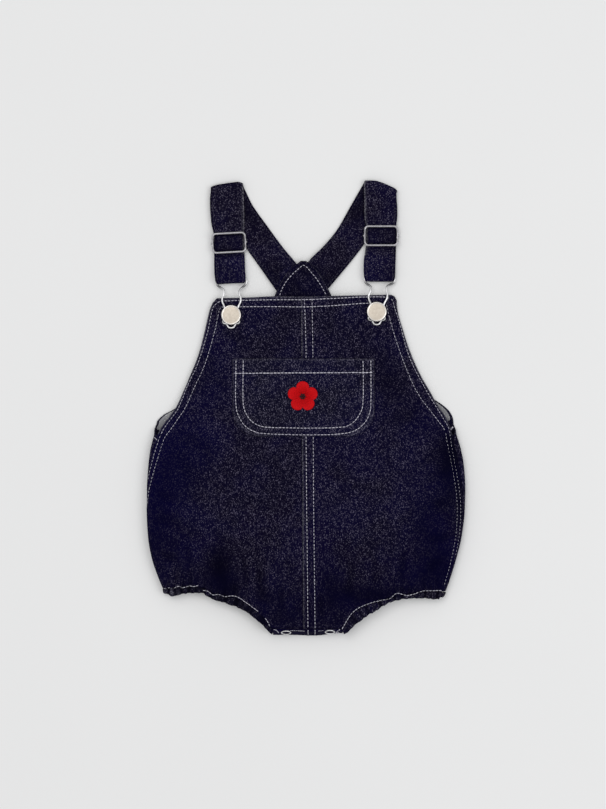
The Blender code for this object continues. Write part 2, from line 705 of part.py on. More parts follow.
def clasp_points(side):
    h = HARDWARE[side]
    bx, by = h["button"]
    mx, my = h["bar"]
    turn = math.radians(h["bar_turn"])

    def spot(sign, row):
        up, half = row["up"], row["half"]
        x = bx + h["lean"] * max(up, 0.0) + sign * half
        y = by + up
        if up > 24.0:
            x = mx + sign * half * math.cos(turn)
            y = my + (up - CLASP[0]["up"]) + sign * half * math.sin(turn)
            return (x, y, row["z"])
        on_bib = front_height(x, y) + DENIM / 2 + PLY_GAP + 0.1 + CLASP_WIRE
        if up > 15.0:
            share = smooth((24.0 - up) / 8.0)
            return (x, y, row["z"] * (1 - share) + on_bib * share)
        return (x, y, on_bib)

    return [spot(-1, row) for row in CLASP] + [spot(1, row) for row in CLASP[::-1]]


def clasps(metal):
    for side in HARDWARE:
        points = clasp_points(side)
        obj = to_mesh(wire("clasp_" + side, points, CLASP_WIRE, True, metal, resolution=1))
        obj.data.shade_smooth()


def sliders(metal):
    for side, h in HARDWARE.items():
        hx, hy = SLIDER_HALF
        rim = [(-hx + 1.6, hy, 4.8), (0, hy, 4.8), (hx - 1.6, hy, 4.8), (hx - 0.4, hy - 0.5, 4.8),
               (hx, hy - 1.8, 4.6), (hx + 0.1, 2.2, 3.2), (hx + 0.1, -2.2, 3.2),
               (hx, -hy + 1.8, 4.6), (hx - 0.4, -hy + 0.5, 4.8), (hx - 1.6, -hy, 4.8),
               (0, -hy, 4.8)]
        rim += [(-hx + 1.6, -hy, 4.8), (-hx + 0.4, -hy + 0.5, 4.8), (-hx, -hy + 1.8, 4.6),
                (-hx - 0.1, -2.2, 3.2), (-hx - 0.1, 2.2, 3.2), (-hx, hy - 1.8, 4.6),
                (-hx + 0.4, hy - 0.5, 4.8)]
        frame = to_mesh(wire("slider_" + side, rim, SLIDER_WIRE, True, metal, resolution=1))
        bpy.ops.mesh.primitive_cylinder_add(vertices=12, radius=0.7 * MM,
                                            depth=2 * SLIDER_BAR_REACH * MM,
                                            rotation=(0, math.pi / 2, 0),
                                            location=(0, 0, 2.75 * MM))
        bar = bpy.context.object
        bar.name = "slider_bar_" + side
        bpy.ops.object.transform_apply(location=True, rotation=True, scale=True)
        for coll in list(bar.users_collection):
            coll.objects.unlink(bar)
        bpy.data.collections["cutters"].objects.link(bar)
        bar.hide_render = True
        bar.display_type = "WIRE"
        join = frame.modifiers.new("Bar", "BOOLEAN")
        join.operation = "UNION"
        join.object = bar
        spot = Vector((h["slider"][0], h["slider"][1], 0)) * MM
        turn = math.radians(h["slider_turn"])
        for obj in (frame, bar):
            obj.location = spot
            obj.rotation_euler = (0, 0, turn)


def build():
    clear_scene()
    make_collection()
    cutters = bpy.data.collections.new("cutters")
    bpy.context.scene.collection.children.link(cutters)
    denim = material("indigo_denim", (0.010, 0.009, 0.024), 0.9)
    red = material("red_embroidery", (0.40, 0.004, 0.006), 0.8)
    nickel = material("nickel", (0.72, 0.71, 0.69), 0.25, 1.0)
    cap = material("champagne_nickel", (0.62, 0.55, 0.47), 0.35, 1.0)
    panels(denim)
    facing(denim)
    pocket(denim)
    patch(red)
    strap("strap_right", STRAP_RIGHT, denim)
    strap("strap_left", STRAP_LEFT, denim)
    leg_band("right", denim)
    leg_band("left", denim)
    crotch(denim)
    snaps(nickel)
    buttons(cap)
    clasps(nickel)
    sliders(nickel)
    bpy.context.view_layer.update()


build()
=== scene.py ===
import bisect
import math
import random

import bmesh
import bpy
import numpy as np
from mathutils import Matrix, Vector
from mathutils.bvhtree import BVHTree


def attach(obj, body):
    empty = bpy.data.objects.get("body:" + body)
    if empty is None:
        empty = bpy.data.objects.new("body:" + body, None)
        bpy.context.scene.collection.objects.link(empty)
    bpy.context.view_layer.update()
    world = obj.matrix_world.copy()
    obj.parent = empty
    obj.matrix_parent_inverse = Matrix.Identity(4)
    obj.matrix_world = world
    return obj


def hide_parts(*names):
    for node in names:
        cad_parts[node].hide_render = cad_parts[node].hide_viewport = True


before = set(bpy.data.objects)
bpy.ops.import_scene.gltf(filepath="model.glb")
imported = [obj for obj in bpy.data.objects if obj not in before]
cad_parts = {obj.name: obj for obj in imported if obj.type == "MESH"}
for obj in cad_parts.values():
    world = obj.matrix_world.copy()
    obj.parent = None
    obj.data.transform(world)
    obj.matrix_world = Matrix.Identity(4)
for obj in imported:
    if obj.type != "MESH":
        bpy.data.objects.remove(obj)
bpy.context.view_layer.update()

MM = 0.001
scene = bpy.context.scene

# --------------------------------------------------------------------- camera
VIEW = dict(x=-2.05, y=2.87, height=3000.0, level=8.0, width=496.9)
camera_data = bpy.data.cameras.new("camera")
camera_data.sensor_fit = "HORIZONTAL"
camera_data.sensor_width = 36.0
camera_data.lens = 36.0 * (VIEW["height"] - VIEW["level"]) / VIEW["width"]
camera_data.clip_start, camera_data.clip_end = 0.1, 20.0
camera = bpy.data.objects.new("camera", camera_data)
camera.location = (VIEW["x"] * MM, VIEW["y"] * MM, VIEW["height"] * MM)
scene.collection.objects.link(camera)
scene.camera = camera
scene.view_settings.view_transform = "Standard"

# ------------------------------------------------------------------ sizes, mm
CLOTH = 0.9            # one ply of denim
SEAM_GAP = 0.5
BACK_MID = 0.6
FOLD_PLY = 1.2
BASE_TOP = 90.0
BASE_HEM = -152.0
UNDERARM = -22.0
POCKET_TOP = 40.2
POCKET_BOTTOM = -23.0
POCKET_RIGHT = -59.5
POCKET_LEFT = 56.2
POCKET_CORNER = 20.0
PATCH_CENTRE = (-2.3, 9.4)
PATCH_RADIUS = 12.6
CROTCH = (-26.4, 30.2)


class Table:
    """Rows of named columns, read with a smooth curve through the rows."""

    def __init__(self, columns, rows):
        self.names = columns.split()
        rows = sorted(rows)
        self.xs = [r[0] for r in rows]
        self.cols = {}
        for k, name in enumerate(self.names[1:], 1):
            ys = [r[k] for r in rows]
            n = len(ys)
            slope = [(ys[j + 1] - ys[j]) / (self.xs[j + 1] - self.xs[j]) for j in range(n - 1)]
            tangent = []
            for j in range(n):
                if j == 0:
                    tangent.append(slope[0])
                elif j == n - 1:
                    tangent.append(slope[-1])
                else:
                    a, b = slope[j - 1], slope[j]
                    tangent.append(0.0 if a * b <= 0 else 2 * a * b / (a + b))
            self.cols[name] = (ys, tangent)

    def at(self, t, name):
        ys, tangent = self.cols[name]
        xs = self.xs
        if t <= xs[0]:
            return ys[0]
        if t >= xs[-1]:
            return ys[-1]
        i = bisect.bisect_right(xs, t) - 1
        h = xs[i + 1] - xs[i]
        q = (t - xs[i]) / h
        return ((2 * q ** 3 - 3 * q ** 2 + 1) * ys[i] + (q ** 3 - 2 * q ** 2 + q) * tangent[i] * h
                + (-2 * q ** 3 + 3 * q ** 2) * ys[i + 1] + (q ** 3 - q ** 2) * tangent[i + 1] * h)


# ------------------------------------------------------------- garment tables
ARMHOLE = Table("y right left height", [
    (90.0, -75.9, 74.8, 2.0),
    (83.6, -78.3, 75.2, 2.0),
    (64.0, -82.4, 79.9, 2.0),
    (44.3, -87.6, 86.5, 2.1),
    (24.6, -95.4, 95.5, 2.3),
    (14.8, -99.6, 101.3, 2.5),
    (0.3, -106.2, 109.4, 3.0),
    (-8.0, -112.2, 115.3, 3.5),
    (-15.6, -117.8, 118.4, 4.3),
    (-22.0, -121.5, 120.0, 5.4),
])
SIDE = Table("y right right_seam left left_seam fold", [
    (-22.0, -124.5, 0.0, 124.2, -0.5, 2.4),
    (-34.0, -127.5, 0.8, 127.8, -1.8, 2.9),
    (-48.0, -129.3, 2.7, 130.3, -0.5, 3.3),
    (-66.0, -130.3, 4.9, 131.4, 1.0, 3.6),
    (-84.0, -130.4, 5.4, 130.9, 2.2, 3.8),
    (-105.0, -129.4, 5.4, 128.5, 2.8, 3.8),
    (-125.0, -126.3, 5.0, 123.9, 2.6, 3.6),
    (-142.0, -121.2, 4.6, 118.9, 2.6, 3.4),
    (-152.0, -117.2, 4.4, 115.3, 2.6, 3.2),
])
BODY = Table("y middle power", [
    (90.0, 5.9, 2.0),
    (64.0, 6.2, 2.0),
    (44.0, 6.8, 2.1),
    (24.0, 7.8, 2.2),
    (0.0, 9.1, 2.3),
    (-22.0, 10.3, 2.4),
    (-48.0, 11.6, 2.5),
    (-84.0, 12.8, 2.6),
    (-120.0, 13.0, 2.6),
    (-152.0, 11.8, 2.6),
])
CENTRE_SEAM = Table("y x", [(91.0, -2.2), (0.0, -1.5), (-90.0, -1.0), (-186.0, 0.2)])
BIB_TOP = Table("x y", [
    (-75.9, 86.6), (-72.3, 90.0), (-51.3, 90.4), (-26.7, 91.4), (0.0, 91.2),
    (20.0, 91.8), (51.6, 92.5), (69.3, 92.9), (73.0, 91.6), (74.9, 88.0),
])
HEM = Table("x panel band", [
    (-117.0, -148.0, -151.0), (-109.0, -147.6, -154.2), (-98.0, -146.6, -151.8),
    (-86.0, -147.0, -151.4), (-76.0, -151.8, -156.6), (-66.0, -154.6, -159.6),
    (-54.0, -157.4, -164.0), (-44.0, -163.6, -170.2), (-35.0, -171.4, -178.6),
    (-28.6, -179.6, -184.3), (-25.0, -180.4, -186.2), (0.0, -180.6, -186.6),
    (28.0, -180.4, -186.2), (32.4, -177.4, -185.2), (40.0, -167.8, -178.8),
    (49.0, -161.8, -171.0), (59.0, -158.6, -165.0), (69.0, -156.2, -159.2),
    (80.0, -153.2, -156.6), (90.0, -151.6, -155.8), (100.0, -150.6, -156.0),
    (108.0, -150.4, -156.8), (115.0, -150.0, -156.0),
])
BACK_TOP = Table("y right left turn", [
    (120.4, -3.9, 0.4, 0.0),
    (118.2, -7.0, 3.6, 0.0),
    (114.8, -11.9, 7.6, 0.0),
    (109.5, -16.2, 11.8, 0.0),
    (104.8, -19.3, 15.0, 0.0),
    (98.0, -22.8, 18.4, 0.0),
    (92.7, -25.0, 20.9, 0.0),
    (80.0, -30.0, 26.5, 0.0),
    (60.0, -40.0, 37.0, 0.0),
    (40.0, -54.0, 53.0, 0.0),
    (20.0, -76.0, 78.0, 0.0),
    (8.0, -94.0, 104.0, 0.0),
    (-1.6, -108.9, 117.2, 0.0),
    (-5.0, -115.6, 119.6, 0.0),
    (-8.0, -119.2, 120.9, 0.0),
    (-12.0, -122.0, 121.4, 0.0),
    (-16.0, -121.6, 120.7, 50.0),
    (-19.0, -121.4, 120.8, 110.0),
    (-22.0, -121.5, 121.2, 156.0),
])
FACING = Table("y right left middle", [
    (120.6, -3.7, 0.2, 3.7),
    (118.4, -6.6, 3.2, 3.9),
    (114.8, -11.6, 7.3, 3.95),
    (109.5, -15.9, 11.5, 3.95),
    (104.8, -19.0, 14.7, 3.95),
    (98.0, -22.5, 18.1, 3.9),
    (92.7, -24.7, 20.6, 3.9),
    (78.0, -29.0, 25.6, 3.9),
    (64.0, -31.5, 28.5, 3.9),
])
FOLDS = [
    dict(a=(-71.0, -118.0), b=(-72.0, -156.0), half=4.5, depth=1.3),
    dict(a=(-60.5, -112.0), b=(-62.5, -158.0), half=5.0, depth=1.6),
    dict(a=(-118.0, -108.0), b=(-98.0, -148.0), half=6.0, depth=1.1),
    dict(a=(-84.0, -104.0), b=(-86.0, -128.0), half=5.0, depth=0.6),
    dict(a=(66.0, -126.0), b=(69.0, -158.0), half=5.0, depth=1.2),
    dict(a=(19.0, -136.0), b=(24.0, -172.0), half=5.5, depth=0.9),
    dict(a=(118.0, -100.0), b=(108.0, -128.0), half=6.0, depth=0.9),
    dict(a=(92.0, -138.0), b=(94.0, -156.0), half=5.0, depth=0.8),
]
# soft creases of the front: from, to, sideways bow, half width, depth (a
# negative depth is a ridge)
CREASES = [
    (-113.0, -28.0, -84.0, -60.0, 3.0, 4.5, 0.55),
    (-104.0, -22.0, -70.0, -44.0, -4.0, 5.5, 0.40),
    (-127.0, -66.0, -101.0, -76.0, 2.0, 4.0, 0.55),
    (-126.0, -92.0, -96.0, -97.0, -2.5, 4.5, 0.60),
    (-122.0, -116.0, -104.0, -124.0, 1.5, 3.0, 0.65),
    (-52.0, -118.0, -49.0, -150.0, -1.5, 3.2, 0.60),
    (-38.0, -124.0, -32.0, -166.0, 2.0, 4.0, 0.70),
    (-22.0, -140.0, -19.0, -176.0, -1.0, 3.2, 0.55),
    (-96.0, -108.0, -92.0, -134.0, 1.5, 3.0, 0.50),
    (-78.0, -96.0, -66.0, -116.0, -1.5, 4.0, 0.35),
    (-44.0, -36.0, -14.0, -42.0, 3.0, 5.0, 0.30),
    (-80.0, 24.0, -62.0, 12.0, -1.5, 3.5, 0.35),
    (-72.0, 66.0, -46.0, 58.0, 2.0, 4.5, 0.35),
    (-40.0, 76.0, -12.0, 70.0, -2.0, 4.0, 0.25),
    (12.0, 66.0, 44.0, 74.0, 2.0, 4.5, 0.28),
    (58.0, 44.0, 76.0, 30.0, 2.0, 4.0, 0.35),
    (92.0, 2.0, 66.0, -16.0, -2.0, 4.5, 0.40),
    (112.0, -26.0, 82.0, -54.0, -3.0, 4.5, 0.55),
    (120.0, -50.0, 92.0, -62.0, 2.0, 4.0, 0.50),
    (124.0, -78.0, 98.0, -84.0, 2.5, 4.5, 0.60),
    (121.0, -104.0, 95.0, -106.0, -2.0, 4.0, 0.60),
    (112.0, -122.0, 96.0, -134.0, -1.0, 3.2, 0.65),
    (82.0, -112.0, 79.0, -146.0, 1.5, 3.4, 0.60),
    (54.0, -118.0, 57.0, -152.0, -1.5, 3.2, 0.50),
    (40.0, -122.0, 36.0, -164.0, 2.0, 3.8, 0.65),
    (12.0, -148.0, 14.0, -177.0, 1.0, 3.0, 0.50),
    (30.0, -66.0, 66.0, -74.0, -3.0, 5.0, 0.28),
    (-62.0, -70.0, -30.0, -80.0, 3.0, 5.0, 0.28),
]
# gathers where the leg bands pull the cloth in: hem x, reach up, lean, half
# width, depth
GATHERS = [
    (-113.0, 9.0, 1.5, 1.4, 0.40), (-107.5, 15.0, 3.0, 1.6, 0.60), (-101.0, 11.0, 2.0, 1.4, 0.50),
    (-95.0, 19.0, 2.0, 1.8, 0.65), (-89.5, 9.0, 0.5, 1.3, 0.40), (-83.0, 16.0, 1.0, 1.6, 0.55),
    (-77.5, 12.0, -0.5, 1.5, 0.60), (-66.5, 20.0, -1.0, 1.7, 0.55), (-57.0, 14.0, -1.5, 1.6, 0.60),
    (-51.5, 10.0, -1.5, 1.3, 0.45), (-46.0, 17.0, -4.0, 1.6, 0.60), (-40.5, 12.0, -4.5, 1.4, 0.45),
    (-35.5, 16.0, -6.0, 1.5, 0.55), (-31.0, 9.0, -4.0, 1.2, 0.40),
    (35.0, 11.0, 4.0, 1.3, 0.45), (39.5, 17.0, 5.5, 1.5, 0.55), (44.5, 11.0, 3.0, 1.4, 0.45),
    (50.0, 18.0, 3.0, 1.6, 0.60), (56.0, 12.0, 1.5, 1.4, 0.45), (61.5, 20.0, 1.0, 1.7, 0.60),
    (73.5, 13.0, 0.5, 1.5, 0.55), (79.0, 17.0, -0.5, 1.6, 0.55), (85.0, 10.0, -0.5, 1.3, 0.45),
    (97.5, 18.0, -2.0, 1.7, 0.60), (103.0, 10.0, -1.5, 1.4, 0.45), (108.5, 14.0, -2.5, 1.6, 0.55),
    (112.5, 8.0, -1.5, 1.2, 0.35),
]
# darker, bluer places of the front, where the cloth turns away from the light
# or lies in its folds: x, y, reach in x and y, shade, indigo
SHADES = [
    (-112.0, -52.0, 20.0, 52.0, 0.50, 0.80),
    (-90.0, -34.0, 18.0, 22.0, 0.32, 0.60),
    (-122.0, -95.0, 12.0, 44.0, 0.50, 0.60),
    (-100.0, -118.0, 16.0, 20.0, 0.35, 0.35),
    (-70.0, -134.0, 10.0, 24.0, 0.84, 0.15),
    (-61.0, -148.0, 9.0, 12.0, 0.65, 0.10),
    (-88.0, -142.0, 16.0, 8.0, 0.40, 0.30),
    (-26.0, -160.0, 24.0, 16.0, 0.45, 0.30),
    (22.0, -146.0, 11.0, 20.0, 0.50, 0.20),
    (46.0, -156.0, 30.0, 12.0, 0.60, 0.35),
    (92.0, -138.0, 26.0, 14.0, 0.45, 0.40),
    (104.0, -104.0, 20.0, 42.0, 0.60, 0.45),
    (117.0, -44.0, 11.0, 36.0, 0.82, 0.30),
    (114.0, -132.0, 11.0, 22.0, 0.45, 0.60),
    (70.0, -154.0, 42.0, 7.0, 0.45, 0.10),
    (5.0, -172.0, 34.0, 12.0, 0.34, 0.20),
    (66.0, 22.0, 13.0, 26.0, 0.38, 0.10),
    (-80.0, 30.0, 12.0, 26.0, 0.22, 0.35),
    (88.0, -8.0, 18.0, 18.0, 0.30, 0.20),
]
# creases of the back, which lies on the surface, so each only rises
BACK_CREASES = [
    (-112.0, -30.0, -76.0, -54.0, 3.0, 6.0, 0.9),
    (114.0, -34.0, 80.0, -60.0, -3.0, 6.5, 0.8),
    (-104.0, -92.0, -62.0, -84.0, -3.0, 7.0, 0.8),
    (108.0, -100.0, 64.0, -90.0, 2.0, 6.0, 0.9),
    (-60.0, -102.0, -52.0, -148.0, 2.0, 5.0, 1.0),
    (-88.0, -112.0, -84.0, -142.0, -1.0, 4.5, 0.8),
    (-34.0, -120.0, -28.0, -166.0, 1.5, 5.0, 0.9),
    (36.0, -112.0, 33.0, -162.0, -2.0, 5.0, 0.9),
    (68.0, -108.0, 72.0, -150.0, 1.0, 5.0, 0.8),
    (96.0, -116.0, 92.0, -144.0, -1.0, 4.0, 0.7),
    (-40.0, -6.0, -12.0, -26.0, 2.0, 7.0, 0.6),
    (14.0, -34.0, 52.0, -20.0, 3.0, 7.0, 0.6),
    (-30.0, 60.0, -8.0, 44.0, -1.5, 5.0, 0.5),
    (8.0, 30.0, 34.0, 42.0, 1.5, 5.0, 0.5),
]
STRAP_RIGHT = [
    dict(outer=(-22.4, 95.0), inner=(-2.7, 111.5), z=2.3),
    dict(outer=(-26.0, 99.8), inner=(-8.7, 119.6), z=2.3),
    dict(outer=(-36.7, 115.1), inner=(-19.0, 132.0), z=1.9),
    dict(outer=(-48.3, 131.6), inner=(-31.4, 148.9), z=0.9),
    dict(outer=(-61.7, 154.0), inner=(-43.9, 166.7), z=0.8),
    dict(outer=(-72.5, 172.0), inner=(-49.6, 178.6), z=0.8),
    dict(fold="shoulder", outer=(-77.5, 179.6), inner=(-51.5, 183.4), low=0.8, high=2.9,
         push=(-0.08, 1.0)),
    dict(outer=(-78.2, 170.0), inner=(-51.0, 172.0), z=2.9),
    dict(outer=(-76.9, 151.0), inner=(-50.6, 152.0), z=2.9),
    dict(outer=(-75.0, 142.6), inner=(-50.8, 143.9), z=2.9),
    dict(outer=(-74.9, 138.9), inner=(-50.7, 140.2), z=3.9),
    dict(outer=(-74.9, 135.1), inner=(-50.7, 136.4), z=4.6),
    dict(outer=(-74.8, 131.2), inner=(-50.6, 132.5), z=3.9),
    dict(outer=(-74.7, 127.3), inner=(-50.5, 128.6), z=2.9),
    dict(outer=(-74.7, 119.0), inner=(-50.1, 120.4), z=3.0),
    dict(outer=(-74.4, 109.5), inner=(-49.8, 110.9), z=4.2),
    dict(fold="clasp", outer=(-73.6, 104.0), inner=(-49.5, 105.3), low=0.8, high=4.5,
         push=(0.05, -1.0), pinch=0.7),
    dict(outer=(-74.2, 114.0), inner=(-50.2, 115.4), z=0.8),
    dict(outer=(-74.4, 124.5), inner=(-52.5, 125.9), z=0.8),
    dict(outer=(-74.4, 135.0), inner=(-54.0, 136.1), z=0.85),
    dict(outer=(-74.4, 136.4), inner=(-54.4, 137.5), z=1.45),
    dict(outer=(-74.4, 136.95), inner=(-54.4, 138.05), z=2.7),
]
STRAP_LEFT = [
    dict(outer=(15.8, 95.6), inner=(-1.1, 114.5), z=2.3),
    dict(outer=(18.8, 98.7), inner=(3.7, 121.4), z=2.3),
    dict(outer=(31.0, 113.2), inner=(15.2, 132.9), z=1.9),
    dict(outer=(44.0, 129.4), inner=(25.9, 145.8), z=0.9),
    dict(outer=(57.0, 149.0), inner=(37.3, 165.6), z=0.8),
    dict(outer=(67.5, 165.5), inner=(43.6, 176.6), z=0.8),
    dict(fold="shoulder", outer=(74.0, 175.0), inner=(48.4, 185.2), low=0.8, high=2.9,
         push=(0.34, 0.94)),
    dict(outer=(75.0, 165.0), inner=(48.7, 170.0), z=2.9),
    dict(outer=(75.0, 156.0), inner=(48.7, 157.0), z=2.9),
    dict(outer=(74.2, 149.1), inner=(50.0, 149.1), z=2.9),
    dict(outer=(74.2, 145.3), inner=(50.0, 145.3), z=3.9),
    dict(outer=(74.2, 141.4), inner=(50.0, 141.4), z=4.6),
    dict(outer=(74.2, 137.5), inner=(50.0, 137.5), z=3.9),
    dict(outer=(74.1, 133.6), inner=(49.9, 133.6), z=2.9),
    dict(outer=(73.7, 121.0), inner=(48.2, 121.0), z=3.0),
    dict(outer=(73.4, 111.4), inner=(48.1, 111.4), z=4.2),
    dict(fold="clasp", outer=(73.1, 106.4), inner=(48.7, 106.4), low=0.8, high=4.5,
         push=(0.0, -1.0), pinch=0.7),
    dict(outer=(73.2, 117.0), inner=(48.6, 117.0), z=0.8),
    dict(outer=(73.4, 130.0), inner=(51.0, 130.0), z=0.8),
    dict(outer=(73.4, 141.2), inner=(55.6, 141.2), z=0.85),
    dict(outer=(73.4, 142.7), inner=(56.0, 142.7), z=1.45),
    dict(outer=(73.4, 143.25), inner=(56.0, 143.25), z=2.7),
]
CLASP = [
    dict(half=12.1, up=28.2, z=2.65), dict(half=12.1, up=26.2, z=2.65),
    dict(half=11.6, up=24.9, z=2.7), dict(half=7.0, up=21.0, z=3.0),
    dict(half=6.3, up=19.8, z=3.2), dict(half=6.5, up=17.0, z=3.8),
    dict(half=7.6, up=13.6, z=0), dict(half=7.5, up=11.0, z=0),
    dict(half=5.6, up=6.6, z=0), dict(half=4.9, up=2.0, z=0),
    dict(half=5.2, up=-2.6, z=0), dict(half=6.7, up=-5.2, z=0),
    dict(half=6.2, up=-6.6, z=0), dict(half=3.7, up=-7.2, z=0),
    dict(half=3.0, up=-8.6, z=0), dict(half=1.7, up=-10.2, z=0),
]
HARDWARE = dict(
    right=dict(button=(-61.0, 76.3), lean=0.02, bar=(-60.6, 104.6), bar_turn=3.1,
               slider=(-62.8, 135.7), slider_turn=3.1),
    left=dict(button=(58.4, 79.0), lean=0.085, bar=(60.9, 106.4), bar_turn=0.0,
              slider=(62.1, 141.4), slider_turn=0.0),
)
CROTCH_FRONT = [(-181.2, 11.6), (-182.2, 11.0), (-182.9, 9.6), (-184.2, 5.9), (-185.3, 2.6),
                (-186.1, 1.3)]
CROTCH_BACK = [(-170.0, 2.25), (-178.0, 2.25), (-181.6, 2.5), (-182.5, 3.6), (-181.5, 6.6),
               (-180.6, 9.4)]
SNAPS = dict(right=-15.9, left=20.0)

# topstitching of the front, as points x, y
BIB_STITCH = [
    [(-72.6, 86.2), (-70.0, 87.6), (-62.0, 88.0), (-52.3, 88.4), (-26.0, 88.8), (-0.7, 88.9),
     (20.9, 89.8), (51.0, 91.2), (66.0, 90.9), (70.2, 89.8)],
    [(-69.2, 82.9), (-52.3, 83.1), (-26.0, 83.2), (-0.7, 83.0), (20.9, 83.9), (51.0, 86.0),
     (66.5, 85.4)],
]
ARM_STITCH_RIGHT = [
    [(-72.6, 86.2), (-75.4, 83.6), (-77.2, 77.9), (-81.3, 59.0), (-88.6, 36.1), (-96.6, 18.9),
     (-105.0, -1.2), (-110.6, -9.0), (-116.2, -17.0), (-119.2, -22.6)],
    [(-69.2, 82.9), (-70.9, 79.9), (-74.0, 65.2), (-82.6, 36.0), (-90.3, 18.9), (-99.4, -1.0),
     (-104.9, -9.2), (-110.6, -17.4), (-114.8, -23.0)],
]
ARM_STITCH_LEFT = [
    [(70.2, 89.8), (71.6, 88.0), (72.9, 83.2), (77.1, 70.5), (85.2, 42.2), (99.0, 14.8),
     (107.4, 0.9), (112.9, -8.2), (116.4, -14.0), (118.2, -18.4)],
    [(66.5, 85.4), (68.0, 77.9), (75.4, 52.6), (83.6, 30.4), (92.2, 12.0), (104.6, -5.0),
     (113.4, -16.6), (115.0, -20.4)],
]
SIDE_STITCH_RIGHT = [
    [(-119.2, -22.6), (-121.0, -28.0), (-123.9, -37.0), (-126.3, -45.9), (-128.3, -54.0),
     (-129.4, -60.0)],
    [(-114.8, -23.0), (-116.6, -27.0), (-121.2, -41.0), (-125.0, -54.0), (-127.9, -65.3),
     (-129.3, -74.0), (-129.7, -81.0)],
]
SIDE_STITCH_LEFT = [
    [(118.2, -18.4), (118.9, -24.0), (120.4, -34.1), (123.6, -51.7), (126.4, -69.3),
     (127.2, -82.0), (126.4, -101.4), (123.7, -118.0), (120.6, -132.0), (117.4, -142.0)],
    [(115.0, -20.4), (115.6, -25.0), (117.4, -34.1), (120.9, -51.7), (123.6, -69.3),
     (124.4, -82.0), (123.6, -101.4), (120.9, -118.0), (117.6, -132.0), (113.6, -146.0)],
]
CENTRE_STITCH = [
    [(-0.9, 90.0), (0.1, 60.0), (0.5, 39.4), (0.5, -26.2), (0.9, -75.4), (1.5, -130.0),
     (2.0, -181.0)],
    [(5.3, 90.0), (5.8, 60.0), (6.1, 39.4), (6.3, -26.2), (6.6, -75.4), (7.2, -130.0),
     (7.8, -181.0)],
]
POCKET_STITCH = [
    [(-57.0, 39.6), (-57.0, 2.5), (-55.4, -5.2), (-49.6, -14.6), (-40.6, -19.8), (-29.1, -21.2),
     (28.3, -21.2), (40.6, -18.4), (48.9, -11.6), (52.9, -2.6), (53.6, 4.5), (53.6, 39.6)],
    [(-51.0, 39.6), (-51.0, 4.1), (-49.5, -2.9), (-43.7, -11.3), (-35.6, -15.2), (-29.1, -15.9),
     (27.3, -15.9), (34.9, -14.5), (41.9, -8.8), (46.2, -0.9), (47.2, 6.6), (47.2, 39.6)],
    [(-58.6, 28.4), (-20.0, 28.7), (20.0, 28.9), (55.4, 29.1)],
]


# ------------------------------------------------------------ garment surface
def smooth(t):
    t = min(1.0, max(0.0, t))
    return t * t * (3 - 2 * t)


def soft(t):
    t = np.clip(t, 0.0, 1.0)
    return t * t * (3 - 2 * t)


def hem_share(base):
    return smooth((-96.0 - base) / (-96.0 - BASE_HEM))


def bib_share(base):
    return min(1.0, max(0.0, (base - 66.0) / (BASE_TOP - 66.0)))


def row_y(x, base):
    return (base + hem_share(base) * (HEM.at(x, "panel") - BASE_HEM)
            + bib_share(base) * (BIB_TOP.at(x, "y") - BASE_TOP))


def side_values(base, side):
    """Top of the side fold, its radius and the seam's place beyond it."""
    if base >= UNDERARM:
        return ARMHOLE.at(base, side), 0.0, 0.0, ARMHOLE.at(base, "height")
    fold = SIDE.at(base, "fold")
    sign = -1 if side == "right" else 1
    top = SIDE.at(base, side) - sign * (fold + FOLD_PLY / 2)
    return top, fold, SIDE.at(base, side + "_seam"), BACK_MID + 2 * fold


def fold_drop(x, y):
    total = 0.0
    for f in FOLDS:
        (ax, ay), (bx, by) = f["a"], f["b"]
        dx, dy = bx - ax, by - ay
        length = math.hypot(dx, dy)
        t = ((x - ax) * dx + (y - ay) * dy) / length ** 2
        away = abs((x - ax) * dy - (y - ay) * dx) / length
        if 0.0 < t < 1.3 and away < 2.2 * f["half"]:
            reach = smooth(t / 0.5) * smooth((1.3 - t) / 0.2)
            total += f["depth"] * reach * math.exp(-(away / f["half"]) ** 2)
    return total


def dome(base, s):
    _, _, _, edge = side_values(base, "right" if s < 0 else "left")
    middle = BODY.at(base, "middle")
    return edge + (middle - edge) * (1 - abs(s) ** BODY.at(base, "power"))


def front_height(x, y):
    """Middle of the front's denim, before its creases."""
    low, high = BASE_HEM, BASE_TOP
    for _ in range(24):
        mid = (low + high) / 2
        if row_y(x, mid) < y:
            low = mid
        else:
            high = mid
    base = (low + high) / 2
    side = "right" if x < CENTRE_SEAM.at(base, "x") else "left"
    sign = -1 if side == "right" else 1
    top, _, beyond, _ = side_values(base, side)
    centre = CENTRE_SEAM.at(base, "x")
    flat = abs(top - centre) + min(beyond, 0.0)
    s = min(1.0, abs(x - centre) / flat)
    return dome(base, sign * s) - fold_drop(x, y) * smooth((1 - s) / 0.08)


def front_run(base, side):
    top, fold, beyond, edge = side_values(base, side)
    sign = -1 if side == "right" else 1
    centre = CENTRE_SEAM.at(base, "x") + (-0.15 if side == "right" else -1.25)
    flat = abs(top - centre) + min(beyond, 0.0)
    return top, fold, beyond, edge, sign, centre, flat, max(beyond, 0.0)


def front_spot(side, run, base):
    """Point of the front's middle at a distance from its centre edge."""
    top, fold, beyond, edge, sign, centre, flat, rounded = front_run(base, side)
    if run <= flat or rounded == 0.0:
        x = centre + sign * run
        s = sign * min(1.0, run / flat)
        z = dome(base, s)
        y = row_y(x, base)
        z -= fold_drop(x, y) * smooth((1 - abs(s)) / 0.08)
        return x, y, z
    angle = (run - flat) / fold
    return (top + sign * fold * math.sin(angle), row_y(top, base),
            edge - fold * (1 - math.cos(angle)))


